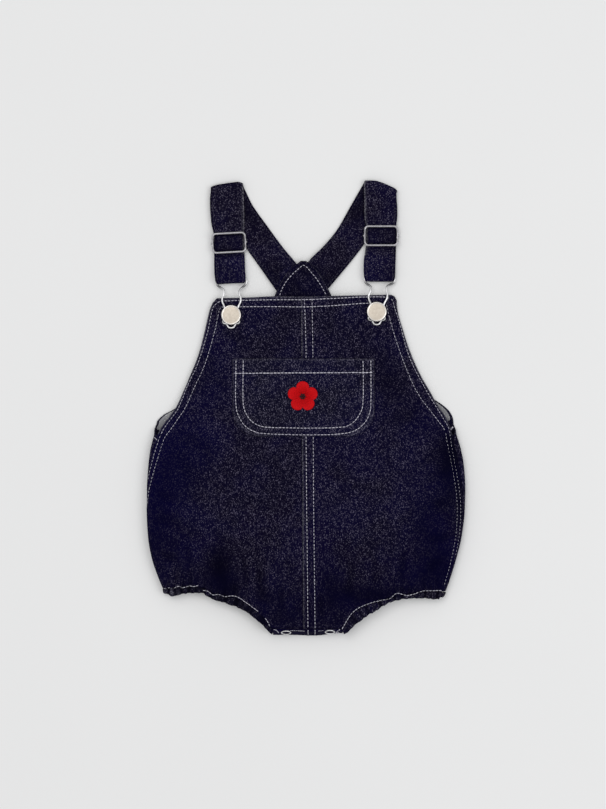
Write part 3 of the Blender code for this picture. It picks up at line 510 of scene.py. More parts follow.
def back_spot(side, u, base):
    sign = -1 if side == "right" else 1
    centre = sign * 0.15
    if base >= UNDERARM:
        top, fold = BACK_TOP.at(base, side), SIDE.at(UNDERARM, "fold")
        arc = math.radians(BACK_TOP.at(base, "turn")) * fold
        beyond = 0.0
    else:
        top, fold, beyond, _ = side_values(base, side)
        arc = math.pi * fold
    flat = abs(top - centre)
    back_over = 0.0
    if base < UNDERARM or arc > 0.0:
        end = beyond + 0.45 if base < UNDERARM else 0.0
        if end >= 0.0:
            arc -= end
        else:
            back_over = -end
    run = u * (flat + arc + back_over)
    y = base + hem_share(base) * (HEM.at(centre + sign * min(run, flat), "panel") - BASE_HEM)
    if run <= flat or arc == 0.0:
        return centre + sign * min(run, flat), y, BACK_MID
    if run <= flat + arc:
        angle = (run - flat) / fold
        return top + sign * fold * math.sin(angle), y, BACK_MID + fold * (1 - math.cos(angle))
    return top - sign * (run - flat - arc), y, BACK_MID + 2 * fold


# ------------------------------------------------------------- lines and bumps
def spline(points, step):
    """Evenly spaced points on a smooth curve through the given ones."""
    P = np.array(points, float)
    ext = np.vstack([2 * P[0] - P[1], P, 2 * P[-1] - P[-2]])
    out = []
    for i in range(1, len(ext) - 2):
        p0, p1, p2, p3 = ext[i - 1], ext[i], ext[i + 1], ext[i + 2]
        d0 = max(np.linalg.norm(p1 - p0) ** 0.5, 1e-6)
        d1 = max(np.linalg.norm(p2 - p1) ** 0.5, 1e-6)
        d2 = max(np.linalg.norm(p3 - p2) ** 0.5, 1e-6)
        m1 = ((p1 - p0) / d0 - (p2 - p0) / (d0 + d1) + (p2 - p1) / d1) * d1
        m2 = ((p2 - p1) / d1 - (p3 - p1) / (d1 + d2) + (p3 - p2) / d2) * d1
        count = max(2, int(np.linalg.norm(p2 - p1) / step) + 1)
        for q in np.arange(count) / count:
            out.append((2 * q ** 3 - 3 * q ** 2 + 1) * p1 + (q ** 3 - 2 * q ** 2 + q) * m1
                       + (-2 * q ** 3 + 3 * q ** 2) * p2 + (q ** 3 - q ** 2) * m2)
    out.append(P[-1])
    return even(np.array(out), step)


def even(P, step):
    seg = np.linalg.norm(np.diff(P, axis=0), axis=1)
    s = np.concatenate([[0.0], np.cumsum(seg)])
    count = max(2, int(round(s[-1] / step)) + 1)
    t = np.linspace(0.0, s[-1], count)
    return np.stack([np.interp(t, s, P[:, k]) for k in range(P.shape[1])], axis=1)


def away(X, Y, line):
    """Distance from each point to a line, and how far along the line it lies."""
    P = spline(line, 4.0)
    seg = np.linalg.norm(np.diff(P, axis=0), axis=1)
    s0 = np.concatenate([[0.0], np.cumsum(seg)])
    best = np.full(X.shape, 1e9)
    along = np.zeros(X.shape)
    for k in range(len(P) - 1):
        (ax, ay), (bx, by) = P[k], P[k + 1]
        dx, dy = bx - ax, by - ay
        t = np.clip(((X - ax) * dx + (Y - ay) * dy) / (dx * dx + dy * dy), 0.0, 1.0)
        d = np.hypot(X - ax - t * dx, Y - ay - t * dy)
        near = d < best
        best = np.where(near, d, best)
        along = np.where(near, s0[k] + t * seg[k], along)
    return best, along


def pucker(along, seed):
    """Uneven ripple along a sewn line."""
    return (0.55 * np.sin(along * 0.83 + seed) + 0.35 * np.sin(along * 1.37 + 2.1 * seed + 1.0)
            + 0.45 * np.sin(along * 0.41 + 0.7 * seed) * np.sin(along * 0.117 + seed))


def groove(X, Y, lines, deep=0.17, wide=0.85, ripple=0.10, reach=4.0):
    H = np.zeros(X.shape)
    for k, line in enumerate(lines):
        d, s = away(X, Y, line)
        H -= deep * np.exp(-(d / wide) ** 2)
        H += ripple * pucker(s, 1.7 * k + 0.4 * len(line)) * np.exp(-(d / reach) ** 2)
    return H


def crease_field(X, Y, rows):
    H = np.zeros(X.shape)
    for ax, ay, bx, by, bow, half, depth in rows:
        dx, dy = bx - ax, by - ay
        length = math.hypot(dx, dy)
        t = ((X - ax) * dx + (Y - ay) * dy) / length ** 2
        off = ((X - ax) * dy - (Y - ay) * dx) / length - bow * 4 * t * (1 - t)
        fade = soft(t / 0.35) * soft((1 - t) / 0.4)
        q = off / (half * (0.75 + 0.5 * np.clip(t, 0, 1)))
        H -= depth * fade * (np.exp(-q ** 2) - 0.42 * np.exp(-(np.abs(q) - 1.9) ** 2 * 1.2))
    return H


def gather_field(X, Y):
    H = np.zeros(X.shape)
    for gx, reach, lean, half, depth in GATHERS:
        foot = HEM.at(gx, "panel")
        t = (Y - foot) / reach
        off = X - gx - lean * np.clip(t, -0.2, 1.2)
        fade = soft((1.15 - t) / 1.0) * soft((t + 0.6) / 0.3)
        q = off / (half * (1.0 + 0.6 * np.clip(t, 0, 1)))
        H -= depth * fade * (np.exp(-q ** 2) - 0.5 * np.exp(-(np.abs(q) - 1.7) ** 2 * 1.6))
    return H


def shade_field(X, Y):
    """Painted shade of the front at each point, 0 to 1: how much darker and how much bluer its cloth
    is drawn, from the SHADES zones, and darker towards the bottom.
    """
    dark, shade_blue = np.ones(X.shape), np.ones(X.shape)
    for x, y, rx, ry, shade, indigo in SHADES:
        q = np.exp(-(((X - x) / rx) ** 2 + ((Y - y) / ry) ** 2) ** 1.2)
        dark *= 1 - shade * q
        shade_blue *= 1 - indigo * q
    dark *= 1 - 0.13 * soft((-96.0 - Y) / 30.0)
    return 1 - dark, 1 - shade_blue


def gather_at(x):
    return float(gather_field(np.array([x]), np.array([HEM.at(x, "panel")]))[0])


# ---------------------------------------------------------------- mesh making
def normals_of(P, sign):
    du = np.gradient(P, axis=0)
    dv = np.gradient(P, axis=1)
    N = np.cross(du, dv) * sign
    return N / np.maximum(np.linalg.norm(N, axis=2, keepdims=True), 1e-9)


def new_object(name, verts, faces, mats, index=None, smooth_shade=True):
    mesh = bpy.data.meshes.new(name)
    verts = np.array(verts, float)
    verts[:, 2] = np.maximum(verts[:, 2], 0.0)     # pressed flat on the surface below
    mesh.from_pydata((verts * MM).tolist(), [], faces)
    for m in mats:
        mesh.materials.append(m)
    if index is not None:
        mesh.polygons.foreach_set("material_index", np.asarray(index, np.int32))
    mesh.update()
    bm = bmesh.new()
    bm.from_mesh(mesh)
    if bm.calc_volume(signed=True) < 0:
        bmesh.ops.reverse_faces(bm, faces=bm.faces)
        bm.to_mesh(mesh)
    bm.free()
    if smooth_shade:
        mesh.polygons.foreach_set("use_smooth", np.ones(len(mesh.polygons), bool))
    obj = bpy.data.objects.new(name, mesh)
    scene.collection.objects.link(obj)
    return obj


def shell(name, P, ply, sign, mats, pick=None, rim_highlight=None, shade=None, indigo=None):
    """A sheet of cloth of even thickness on a grid of points, with rolled rims.
    pick(i, j) gives the material of the inner face at that cell."""
    nu, nv = P.shape[:2]
    N = normals_of(P, sign)
    count = nu * nv
    half = np.full((nu, nv, 1), ply / 2)
    half[0], half[-1], half[:, 0], half[:, -1] = (ply * 0.36,) * 4
    outer = P + N * half
    inner = P - N * half
    loop = ([(i, 0) for i in range(nu)] + [(nu - 1, j) for j in range(1, nv)]
            + [(i, nv - 1) for i in range(nu - 2, -1, -1)] + [(0, j) for j in range(nv - 2, 0, -1)])
    rim = []
    for i, j in loop:
        a, b = min(max(i, 1), nu - 2), min(max(j, 1), nv - 2)
        out = P[i, j] - P[a, b]
        out = out / max(np.linalg.norm(out), 1e-9)
        rim.append(P[i, j] + out * ply * 0.22)
    verts = np.vstack([outer.reshape(-1, 3), inner.reshape(-1, 3), np.array(rim)])
    faces, index = [], []
    grid = lambda i, j: i * nv + j
    for i in range(nu - 1):
        for j in range(nv - 1):
            a, b, c, d = grid(i, j), grid(i + 1, j), grid(i + 1, j + 1), grid(i, j + 1)
            faces.append((a, b, c, d))
            index.append(0)
            faces.append((count + a, count + d, count + c, count + b))
            index.append(0 if pick is None else pick(i, j))
    size = len(loop)
    for k in range(size):
        (i0, j0), (i1, j1) = loop[k], loop[(k + 1) % size]
        a, b = grid(i0, j0), grid(i1, j1)
        r0, r1 = 2 * count + k, 2 * count + (k + 1) % size
        faces.append((b, a, r0, r1))
        index.append(0)
        faces.append((count + a, count + b, r1, r0))
        index.append(0)
    obj = new_object(name, verts, faces, mats, index)
    for label, grid_values in (("edge", rim_highlight), ("shade", shade), ("indigo", indigo)):
        values = np.zeros(len(verts), np.float32)
        if grid_values is not None:
            both = grid_values if isinstance(grid_values, tuple) else (grid_values, grid_values)
            E, F = ((part * np.ones((nu, nv))).reshape(-1) for part in both)
            values[:count], values[count:2 * count] = E, F
            values[2 * count:] = [E[i * nv + j] for i, j in loop]
        attribute = obj.data.attributes.new(label, "FLOAT", "POINT")
        attribute.data.foreach_set("value", values)
    return obj


def surface(*objs):
    """Tree of the faces of some pieces, in millimetres."""
    verts, faces = [], []
    for o in objs:
        base = len(verts)
        verts += [tuple(c * 1000 for c in v.co) for v in o.data.vertices]
        faces += [tuple(base + k for k in p.vertices) for p in o.data.polygons]
    return BVHTree.FromPolygons(verts, faces)


def above(tree, x, y, start=60.0, direction=-1.0):
    hit = tree.ray_cast(Vector((x, y, start)), Vector((0, 0, direction)))
    return hit[0], hit[1]


class Threads:
    """Many stitches gathered into one mesh."""

    def __init__(self):
        self.verts, self.faces = [], []
        self.rng = random.Random(7)

    def dash(self, points, ups, radius):
        ring = 6
        base = len(self.verts)
        n = len(points)
        for k in range(n):
            p, up = points[k], ups[k]
            t = (points[min(k + 1, n - 1)] - points[max(k - 1, 0)]).normalized()
            side = t.cross(up).normalized()
            lift = side.cross(t).normalized()
            grow = radius * (0.5, 0.9, 1.0, 0.9, 0.5)[k * 5 // n if n != 5 else k]
            for q in range(ring):
                a = 2 * math.pi * q / ring
                self.verts.append(p + side * grow * 1.15 * math.cos(a) + lift * grow * math.sin(a))
        for k in range(n - 1):
            for q in range(ring):
                a, b = base + k * ring + q, base + k * ring + (q + 1) % ring
                self.faces.append((a, b, b + ring, a + ring))
        self.faces.append(tuple(base + q for q in range(ring))[::-1])
        self.faces.append(tuple(base + (n - 1) * ring + q for q in range(ring)))

    def sew(self, line, land, pitch=2.9, share=0.72, radius=0.32, skip=None):
        """Stitches along a line; land(point) gives the surface and its normal."""
        P = spline(line, 0.25)
        steps_mm = 0.25
        s, total = 0.4, (len(P) - 1) * steps_mm
        while s + pitch * share < total:
            length = pitch * share * self.rng.uniform(0.92, 1.08)
            shift = self.rng.uniform(-0.07, 0.07)
            points, ups = [], []
            size = radius(P[int(s / steps_mm)]) if callable(radius) else radius
            for k in range(5):
                q = s + length * k / 4
                i = min(len(P) - 2, int(q / steps_mm))
                p = P[i] + (P[i + 1] - P[i]) * (q / steps_mm - i)
                spot, up = land(p)
                if spot is None:
                    break
                t = P[i + 1] - P[i]
                across = Vector((-t[1], t[0], 0.0))
                if across.length > 1e-6:
                    across.normalize()
                rise = size * (-0.55, 0.25, 0.42, 0.25, -0.55)[k]
                points.append(spot + up * rise + across * shift)
                ups.append(up)
            if len(points) == 5 and (skip is None or not skip(points[2])):
                self.dash(points, ups, size)
            s += pitch * self.rng.uniform(0.95, 1.05)

    def build(self, name, mat):
        mesh = bpy.data.meshes.new(name)
        mesh.from_pydata([(v.x * MM, v.y * MM, max(0.0, v.z) * MM) for v in self.verts], [],
                         self.faces)
        mesh.materials.append(mat)
        mesh.polygons.foreach_set("use_smooth", np.ones(len(mesh.polygons), bool))
        mesh.update()
        obj = bpy.data.objects.new(name, mesh)
        scene.collection.objects.link(obj)
        return obj


def tube(points, radius, ring=12, cyclic=True, caps=True):
    """Vertices and faces of a round wire along evenly spaced points."""
    P = np.array(points, float)
    n = len(P)
    R = np.full(n, float(radius)) if np.isscalar(radius) else np.array(radius, float)
    if cyclic:
        T = np.roll(P, -1, axis=0) - np.roll(P, 1, axis=0)
    else:
        T = np.gradient(P, axis=0)
    T /= np.linalg.norm(T, axis=1, keepdims=True)
    up = np.array([0.0, 0.0, 1.0])
    verts, faces = [], []
    for k in range(n):
        side = np.cross(T[k], up)
        if np.linalg.norm(side) < 0.15:
            side = np.cross(T[k], np.array([1.0, 0.0, 0.0]))
        side /= np.linalg.norm(side)
        lift = np.cross(side, T[k])
        for q in range(ring):
            a = 2 * math.pi * q / ring
            verts.append(P[k] + R[k] * (side * math.cos(a) + lift * math.sin(a)))
    last = n if cyclic else n - 1
    for k in range(last):
        for q in range(ring):
            a, b = k * ring + q, k * ring + (q + 1) % ring
            c, d = ((k + 1) % n) * ring + (q + 1) % ring, ((k + 1) % n) * ring + q
            faces.append((a, b, c, d))
    if not cyclic and caps:
        faces.append(tuple(range(ring))[::-1])
        faces.append(tuple((n - 1) * ring + q for q in range(ring)))
    return verts, faces


def closed_spline(points, step):
    P = list(points)
    wrapped = [P[-2], P[-1]] + P + [P[0], P[1]]
    S = spline(wrapped, step / 3)
    start = np.argmin(np.linalg.norm(S[: len(S) // 2] - np.array(P[0], float), axis=1))
    tail = len(S) // 2 + np.argmin(np.linalg.norm(S[len(S) // 2:] - np.array(P[0], float), axis=1))
    return even(S[start:tail + 1], step)[:-1]


def turned(profile, count):
    """Profile of (radius, height) turned round its axis, from axis to axis."""
    verts, faces = [], []
    rings = []
    for r, h in profile:
        if r < 1e-6:
            rings.append([len(verts)])
            verts.append((0.0, 0.0, h))
        else:
            rings.append(list(range(len(verts), len(verts) + count)))
            for q in range(count):
                a = 2 * math.pi * q / count
                verts.append((r * math.cos(a), r * math.sin(a), h))
    for a, b in zip(rings, rings[1:]):
        for q in range(count):
            w = (q + 1) % count
            if len(a) == 1 and len(b) > 1:
                faces.append((a[0], b[q], b[w]))
            elif len(b) == 1 and len(a) > 1:
                faces.append((a[q], b[0], a[w]))
            elif len(a) > 1:
                faces.append((a[q], b[q], b[w], a[w]))
    return verts, faces


# ------------------------------------------------------------------ materials
def graph(name):
    mat = bpy.data.materials.new(name)
    mat.use_nodes = True
    tree = mat.node_tree
    return mat, tree, tree.nodes["Principled BSDF"]


def node(tree, kind, **values):
    n = tree.nodes.new(kind)
    for key, value in values.items():
        setattr(n, key, value)
    return n


def math_node(tree, operation, a, b=None, clamp=False):
    n = tree.nodes.new("ShaderNodeMath")
    n.operation = operation
    n.use_clamp = clamp
    for k, v in enumerate((a, b)):
        if v is None:
            continue
        if isinstance(v, (int, float)):
            n.inputs[k].default_value = v
        else:
            tree.links.new(v, n.inputs[k])
    return n.outputs[0]


def mix_colour(tree, factor, a, b):
    n = tree.nodes.new("ShaderNodeMix")
    n.data_type = "RGBA"
    for socket, v in ((n.inputs[0], factor), (n.inputs[6], a), (n.inputs[7], b)):
        if isinstance(v, (int, float)):
            socket.default_value = v
        elif isinstance(v, tuple):
            socket.default_value = (*v, 1.0)
        else:
            tree.links.new(v, socket)
    return n.outputs[2]


def coords(tree, stretch=(1.0, 1.0, 1.0), turn=0.0):
    """Object coordinates in millimetres."""
    source = node(tree, "ShaderNodeTexCoord")
    mapping = node(tree, "ShaderNodeMapping")
    mapping.inputs["Scale"].default_value = tuple(1000.0 * s for s in stretch)
    mapping.inputs["Rotation"].default_value = (0, 0, math.radians(turn))
    tree.links.new(source.outputs["Object"], mapping.inputs["Vector"])
    return mapping.outputs["Vector"]


def noise(tree, vector, scale, detail=2.0, rough=0.5):
    n = node(tree, "ShaderNodeTexNoise")
    n.inputs["Scale"].default_value = scale
    n.inputs["Detail"].default_value = detail
    n.inputs["Roughness"].default_value = rough
    tree.links.new(vector, n.inputs["Vector"])
    return n.outputs["Fac"]


def ramp(tree, value, low, high, a=0.0, b=1.0):
    n = node(tree, "ShaderNodeMapRange")
    n.clamp = True
    n.interpolation_type = "SMOOTHSTEP"
    tree.links.new(value, n.inputs["Value"])
    for key, v in (("From Min", low), ("From Max", high), ("To Min", a), ("To Max", b)):
        n.inputs[key].default_value = v
    return n.outputs["Result"]


def denim(name, ground, indigo, fleck, share=1.0, edge=(0.10, 0.10, 0.13), edge_gain=1.0,
          warp=0.60, pick=0.82):
    """Raw indigo twill: dark warp yarns, and pale, uneven flecks of the weft between them in slanting
    rows. The mesh's edge values paint pale, dotted rims, a painted highlight; its shade values are
    painted shade of folds and of cloth turned from the light, which darkens the cloth and hides its
    flecks; its indigo values are a painted bluer tint that goes with that shade."""
    mat, tree, bsdf = graph(name)
    plain = coords(tree)
    parts = node(tree, "ShaderNodeSeparateXYZ")
    tree.links.new(plain, parts.inputs[0])

    def calc(operation, a, b=None, clamp=False):
        return math_node(tree, operation, a, b, clamp)

    slow = noise(tree, plain, 0.06, 2.0)
    drift = noise(tree, coords(tree, turn=90.0), 0.05, 2.0)
    across = calc("DIVIDE", calc("ADD", parts.outputs["X"], calc("MULTIPLY", slow, 4.0)), warp)
    yarn = calc("FLOOR", across)
    along = calc("DIVIDE", calc("ADD", parts.outputs["Y"], calc("MULTIPLY", drift, 5.0)), pick)
    along = calc("ADD", along, calc("MULTIPLY", yarn, 0.34))
    row = calc("FLOOR", along)
    cell = node(tree, "ShaderNodeCombineXYZ")
    tree.links.new(yarn, cell.inputs["X"])
    tree.links.new(row, cell.inputs["Y"])
    tree.links.new(calc("FLOOR", calc("MULTIPLY", calc("ADD", parts.outputs["Z"], slow), 1.2)),
                   cell.inputs["Z"])
    white = node(tree, "ShaderNodeTexWhiteNoise", noise_dimensions="3D")
    tree.links.new(cell.outputs[0], white.inputs["Vector"])
    chance = white.outputs["Value"]
    side = calc("SUBTRACT", calc("MULTIPLY", calc("SUBTRACT", across, yarn), 2.0), 1.0)
    end = calc("SUBTRACT", calc("MULTIPLY", calc("SUBTRACT", along, row), 2.0), 1.0)
    bulge = calc("MULTIPLY", calc("SUBTRACT", 1.0, calc("MULTIPLY", side, side)),
                 calc("SUBTRACT", 1.0, calc("POWER", calc("ABSOLUTE", end), 4.0)))
    cluster = ramp(tree, noise(tree, plain, 0.16, 3.0, 0.62), 0.36, 0.66, 0.84, 1.18)
    slub = ramp(tree, noise(tree, coords(tree, (1.0, 0.05, 1.0)), 0.8, 2.0, 0.6), 0.32, 0.68,
                0.84, 1.16)
    fine = noise(tree, coords(tree, (1.0, 0.7, 1.0)), 1.6, 2.0, 0.7)
    shade = node(tree, "ShaderNodeAttribute", attribute_name="shade").outputs["Fac"]
    shade_blue = node(tree, "ShaderNodeAttribute", attribute_name="indigo").outputs["Fac"]
    rim = node(tree, "ShaderNodeAttribute", attribute_name="edge").outputs["Fac"]
    lit = calc("SUBTRACT", 1.0, calc("MULTIPLY", shade, 1.1), clamp=True)
    pale = calc("MULTIPLY", calc("POWER", chance, 6.6), bulge)
    pale = calc("MULTIPLY", pale, calc("MULTIPLY", cluster, slub))
    pale = calc("MULTIPLY", pale, calc("MULTIPLY", lit, share), clamp=True)
    # a random cloudy tone of the dye, plus the painted bluer tint of the indigo values, mixes the
    # ground towards the indigo colour
    cloud = ramp(tree, noise(tree, plain, 0.030, 3.0, 0.55), 0.38, 0.66, 0.0, 0.35)
    base = mix_colour(tree, calc("ADD", shade_blue, cloud, clamp=True), ground, indigo)
    coloured = mix_colour(tree, pale, base, fleck)
    # painted highlight: pale dots along the rims
    dots = ramp(tree, chance, 0.25, 0.85, 0.15 * edge_gain, 1.0 * edge_gain)
    coloured = mix_colour(tree, calc("MULTIPLY", rim, dots, clamp=True), coloured, edge)
    # painted shade darkens the whole colour
    dim = node(tree, "ShaderNodeVectorMath", operation="SCALE")
    tree.links.new(coloured, dim.inputs[0])
    tree.links.new(calc("SUBTRACT", 1.0, calc("MULTIPLY", shade, 0.62)), dim.inputs["Scale"])
    tree.links.new(dim.outputs["Vector"], bsdf.inputs["Base Color"])
    tree.links.new(ramp(tree, fine, 0.3, 0.7, 0.82, 0.96), bsdf.inputs["Roughness"])
    bsdf.inputs["Specular IOR Level"].default_value = 0.018
    bsdf.inputs["Sheen Weight"].default_value = 0.006
    bsdf.inputs["Sheen Roughness"].default_value = 0.5
    bump = node(tree, "ShaderNodeBump")
    bump.inputs["Strength"].default_value = 0.6
    bump.inputs["Distance"].default_value = 0.00016
    height = calc("ADD", calc("MULTIPLY", bulge, calc("ADD", calc("MULTIPLY", chance, 0.5), 0.5)),
                  calc("MULTIPLY", fine, 0.6))
    tree.links.new(height, bump.inputs["Height"])
    tree.links.new(bump.outputs["Normal"], bsdf.inputs["Normal"])
    return mat


def thread_material(name, colour, low):
    mat, tree, bsdf = graph(name)
    vector = coords(tree)
    n = noise(tree, vector, 0.35, 2.0)
    fine = noise(tree, vector, 6.0, 2.0, 0.7)
    mixed = math_node(tree, "ADD", math_node(tree, "MULTIPLY", n, 0.55),
                      math_node(tree, "MULTIPLY", fine, 0.45))
    tree.links.new(mix_colour(tree, ramp(tree, mixed, 0.36, 0.62), low, colour),
                   bsdf.inputs["Base Color"])
    tree.links.new(ramp(tree, fine, 0.3, 0.7, 0.55, 0.75), bsdf.inputs["Roughness"])
    bsdf.inputs["Specular IOR Level"].default_value = 0.25
    bump = node(tree, "ShaderNodeBump")
    bump.inputs["Strength"].default_value = 0.4
    bump.inputs["Distance"].default_value = 0.00008
    tree.links.new(fine, bump.inputs["Height"])
    tree.links.new(bump.outputs["Normal"], bsdf.inputs["Normal"])
    return mat


def metal(name, colour, worn, low, high, grain=2.2):
    mat, tree, bsdf = graph(name)
    vector = coords(tree)
    cloud = noise(tree, vector, 0.5, 3.0, 0.6)
    fine = noise(tree, coords(tree, (1.0, 0.2, 1.0)), grain, 2.0, 0.6)
    plated = mix_colour(tree, ramp(tree, cloud, 0.35, 0.70), colour, worn)
    # the mesh's shade values paint shade, darkening the metal towards near black
    shade = node(tree, "ShaderNodeAttribute", attribute_name="shade").outputs["Fac"]
    tree.links.new(mix_colour(tree, shade, plated, (0.035, 0.034, 0.038)),
                   bsdf.inputs["Base Color"])
    tree.links.new(ramp(tree, math_node(tree, "MULTIPLY", math_node(tree, "ADD", cloud, fine), 0.5),
                        0.35, 0.65, low, high), bsdf.inputs["Roughness"])
    bsdf.inputs["Metallic"].default_value = 1.0
    bump = node(tree, "ShaderNodeBump")
    bump.inputs["Strength"].default_value = 0.15
    bump.inputs["Distance"].default_value = 0.00004
    tree.links.new(fine, bump.inputs["Height"])
    tree.links.new(bump.outputs["Normal"], bsdf.inputs["Normal"])
    return mat


# the colour that both the random cloudy tone of the dye and the painted bluer tint of shade mix
# towards
INDIGO = (0.0024, 0.0016, 0.0300)
DENIM = denim("indigo_twill", (0.0028, 0.0020, 0.0112), INDIGO, (0.137, 0.122, 0.187),
              edge=(0.16, 0.155, 0.19))
POCKET_DENIM = denim("indigo_twill_pocket", (0.0040, 0.0034, 0.0134), INDIGO,
                     (0.162, 0.148, 0.214), 1.08, edge=(0.14, 0.135, 0.17))
STRAP_DENIM = denim("indigo_twill_strap", (0.0036, 0.0026, 0.0118), INDIGO,
                    (0.153, 0.138, 0.199), edge=(0.17, 0.165, 0.19))
BAND_DENIM = denim("indigo_twill_band", (0.0040, 0.0033, 0.0120), INDIGO, (0.163, 0.152, 0.198),
                   edge=(0.13, 0.125, 0.16))
WRONG = denim("denim_wrong_side", (0.27, 0.27, 0.28), (0.23, 0.23, 0.27), (0.54, 0.54, 0.54), 2.2,
              edge=(0.05, 0.05, 0.07))
THREAD = thread_material("ecru_thread", (0.60, 0.585, 0.65), (0.33, 0.32, 0.39))
DARK_THREAD = thread_material("indigo_thread", (0.030, 0.028, 0.048), (0.014, 0.012, 0.026))
NICKEL = metal("bright_nickel", (0.78, 0.78, 0.79), (0.60, 0.59, 0.60), 0.26, 0.40)
SLIDER = metal("slider_nickel", (0.46, 0.45, 0.47), (0.35, 0.34, 0.36), 0.28, 0.42)
CAP = metal("satin_button_cap", (0.67, 0.605, 0.52), (0.62, 0.555, 0.475), 0.50, 0.62, 3.0)
RIM = metal("button_rim", (0.84, 0.80, 0.75), (0.74, 0.69, 0.63), 0.24, 0.36, 3.0)


def embroidery_material():
    """Satin stitch: red thread lying outwards from the middle of the flower."""
    mat, tree, bsdf = graph("red_satin_stitch")
    source = node(tree, "ShaderNodeTexCoord")
    shift = node(tree, "ShaderNodeMapping")
    shift.inputs["Location"].default_value = (-PATCH_CENTRE[0], -PATCH_CENTRE[1], 0.0)
    shift.inputs["Scale"].default_value = (1000.0, 1000.0, 1000.0)
    tree.links.new(source.outputs["Object"], shift.inputs["Vector"])
    parts = node(tree, "ShaderNodeSeparateXYZ")
    tree.links.new(shift.outputs["Vector"], parts.inputs[0])
    angle = math_node(tree, "ARCTAN2", parts.outputs["Y"], parts.outputs["X"])
    wobble = noise(tree, shift.outputs["Vector"], 0.9, 2.0)
    lines = math_node(tree, "SINE", math_node(tree, "ADD", math_node(tree, "MULTIPLY", angle, 88.0),
                                              math_node(tree, "MULTIPLY", wobble, 1.5)))
    grain = noise(tree, shift.outputs["Vector"], 2.4, 2.0, 0.7)
    tone = math_node(tree, "ADD", math_node(tree, "MULTIPLY", lines, 0.20),
                     math_node(tree, "MULTIPLY", grain, 0.9))
    colour = mix_colour(tree, ramp(tree, tone, 0.25, 0.75), (0.33, 0.0010, 0.0030),
                        (0.92, 0.004, 0.009))
    tree.links.new(colour, bsdf.inputs["Base Color"])
    tree.links.new(ramp(tree, grain, 0.3, 0.7, 0.5, 0.7), bsdf.inputs["Roughness"])
    bsdf.inputs["Specular IOR Level"].default_value = 0.12
    bump = node(tree, "ShaderNodeBump")
    bump.inputs["Strength"].default_value = 0.6
    bump.inputs["Distance"].default_value = 0.00015
    tree.links.new(lines, bump.inputs["Height"])
    tree.links.new(bump.outputs["Normal"], bsdf.inputs["Normal"])
    return mat


RED = embroidery_material()
KNOT = thread_material("dark_knot_thread", (0.020, 0.010, 0.014), (0.008, 0.004, 0.006))


# --------------------------------------------------------------------- panels
def spread(stops):
    """Values from (start, end, step) runs."""
    out = []
    for a, b, step in stops:
        count = max(1, int(round(abs(b - a) / step)))
        out += [a + (b - a) * k / count for k in range(count)]
    return out + [stops[-1][1]]


FRONT_BASES = spread([(BASE_HEM, -140.0, 1.1), (-140.0, -100.0, 1.6), (-100.0, 74.0, 2.2),
                      (74.0, BASE_TOP, 1.1)])
FRONT_STITCH = (BIB_STITCH + ARM_STITCH_RIGHT + ARM_STITCH_LEFT + SIDE_STITCH_RIGHT
                + SIDE_STITCH_LEFT + CENTRE_STITCH)
LEG_STITCH_RIGHT = [
    [(-116.8, -148.1), (-114.4, -148.3), (-112.6, -147.8), (-109.8, -146.1)],
    [(-108.4, -148.0), (-105.9, -146.8), (-104.1, -146.1), (-101.4, -147.4), (-99.2, -147.1),
     (-94.7, -145.9), (-92.1, -146.3), (-87.0, -145.3)],
    [(-84.5, -149.4), (-80.0, -150.1), (-76.1, -153.0), (-71.1, -152.9), (-66.2, -154.6),
     (-60.2, -153.9), (-56.3, -154.6), (-49.3, -158.9), (-38.4, -166.9)],
    [(-33.4, -171.6), (-31.2, -174.8), (-28.6, -180.2)],
]
LEG_STITCH_LEFT = [
    [(115.0, -149.6), (105.0, -149.9), (95.9, -150.2), (89.9, -152.2), (82.9, -153.6),
     (74.9, -151.9), (69.0, -156.2), (59.0, -158.2), (45.2, -162.9), (38.2, -167.9),
     (33.2, -175.2), (30.0, -181.0), (29.2, -182.4)],
]


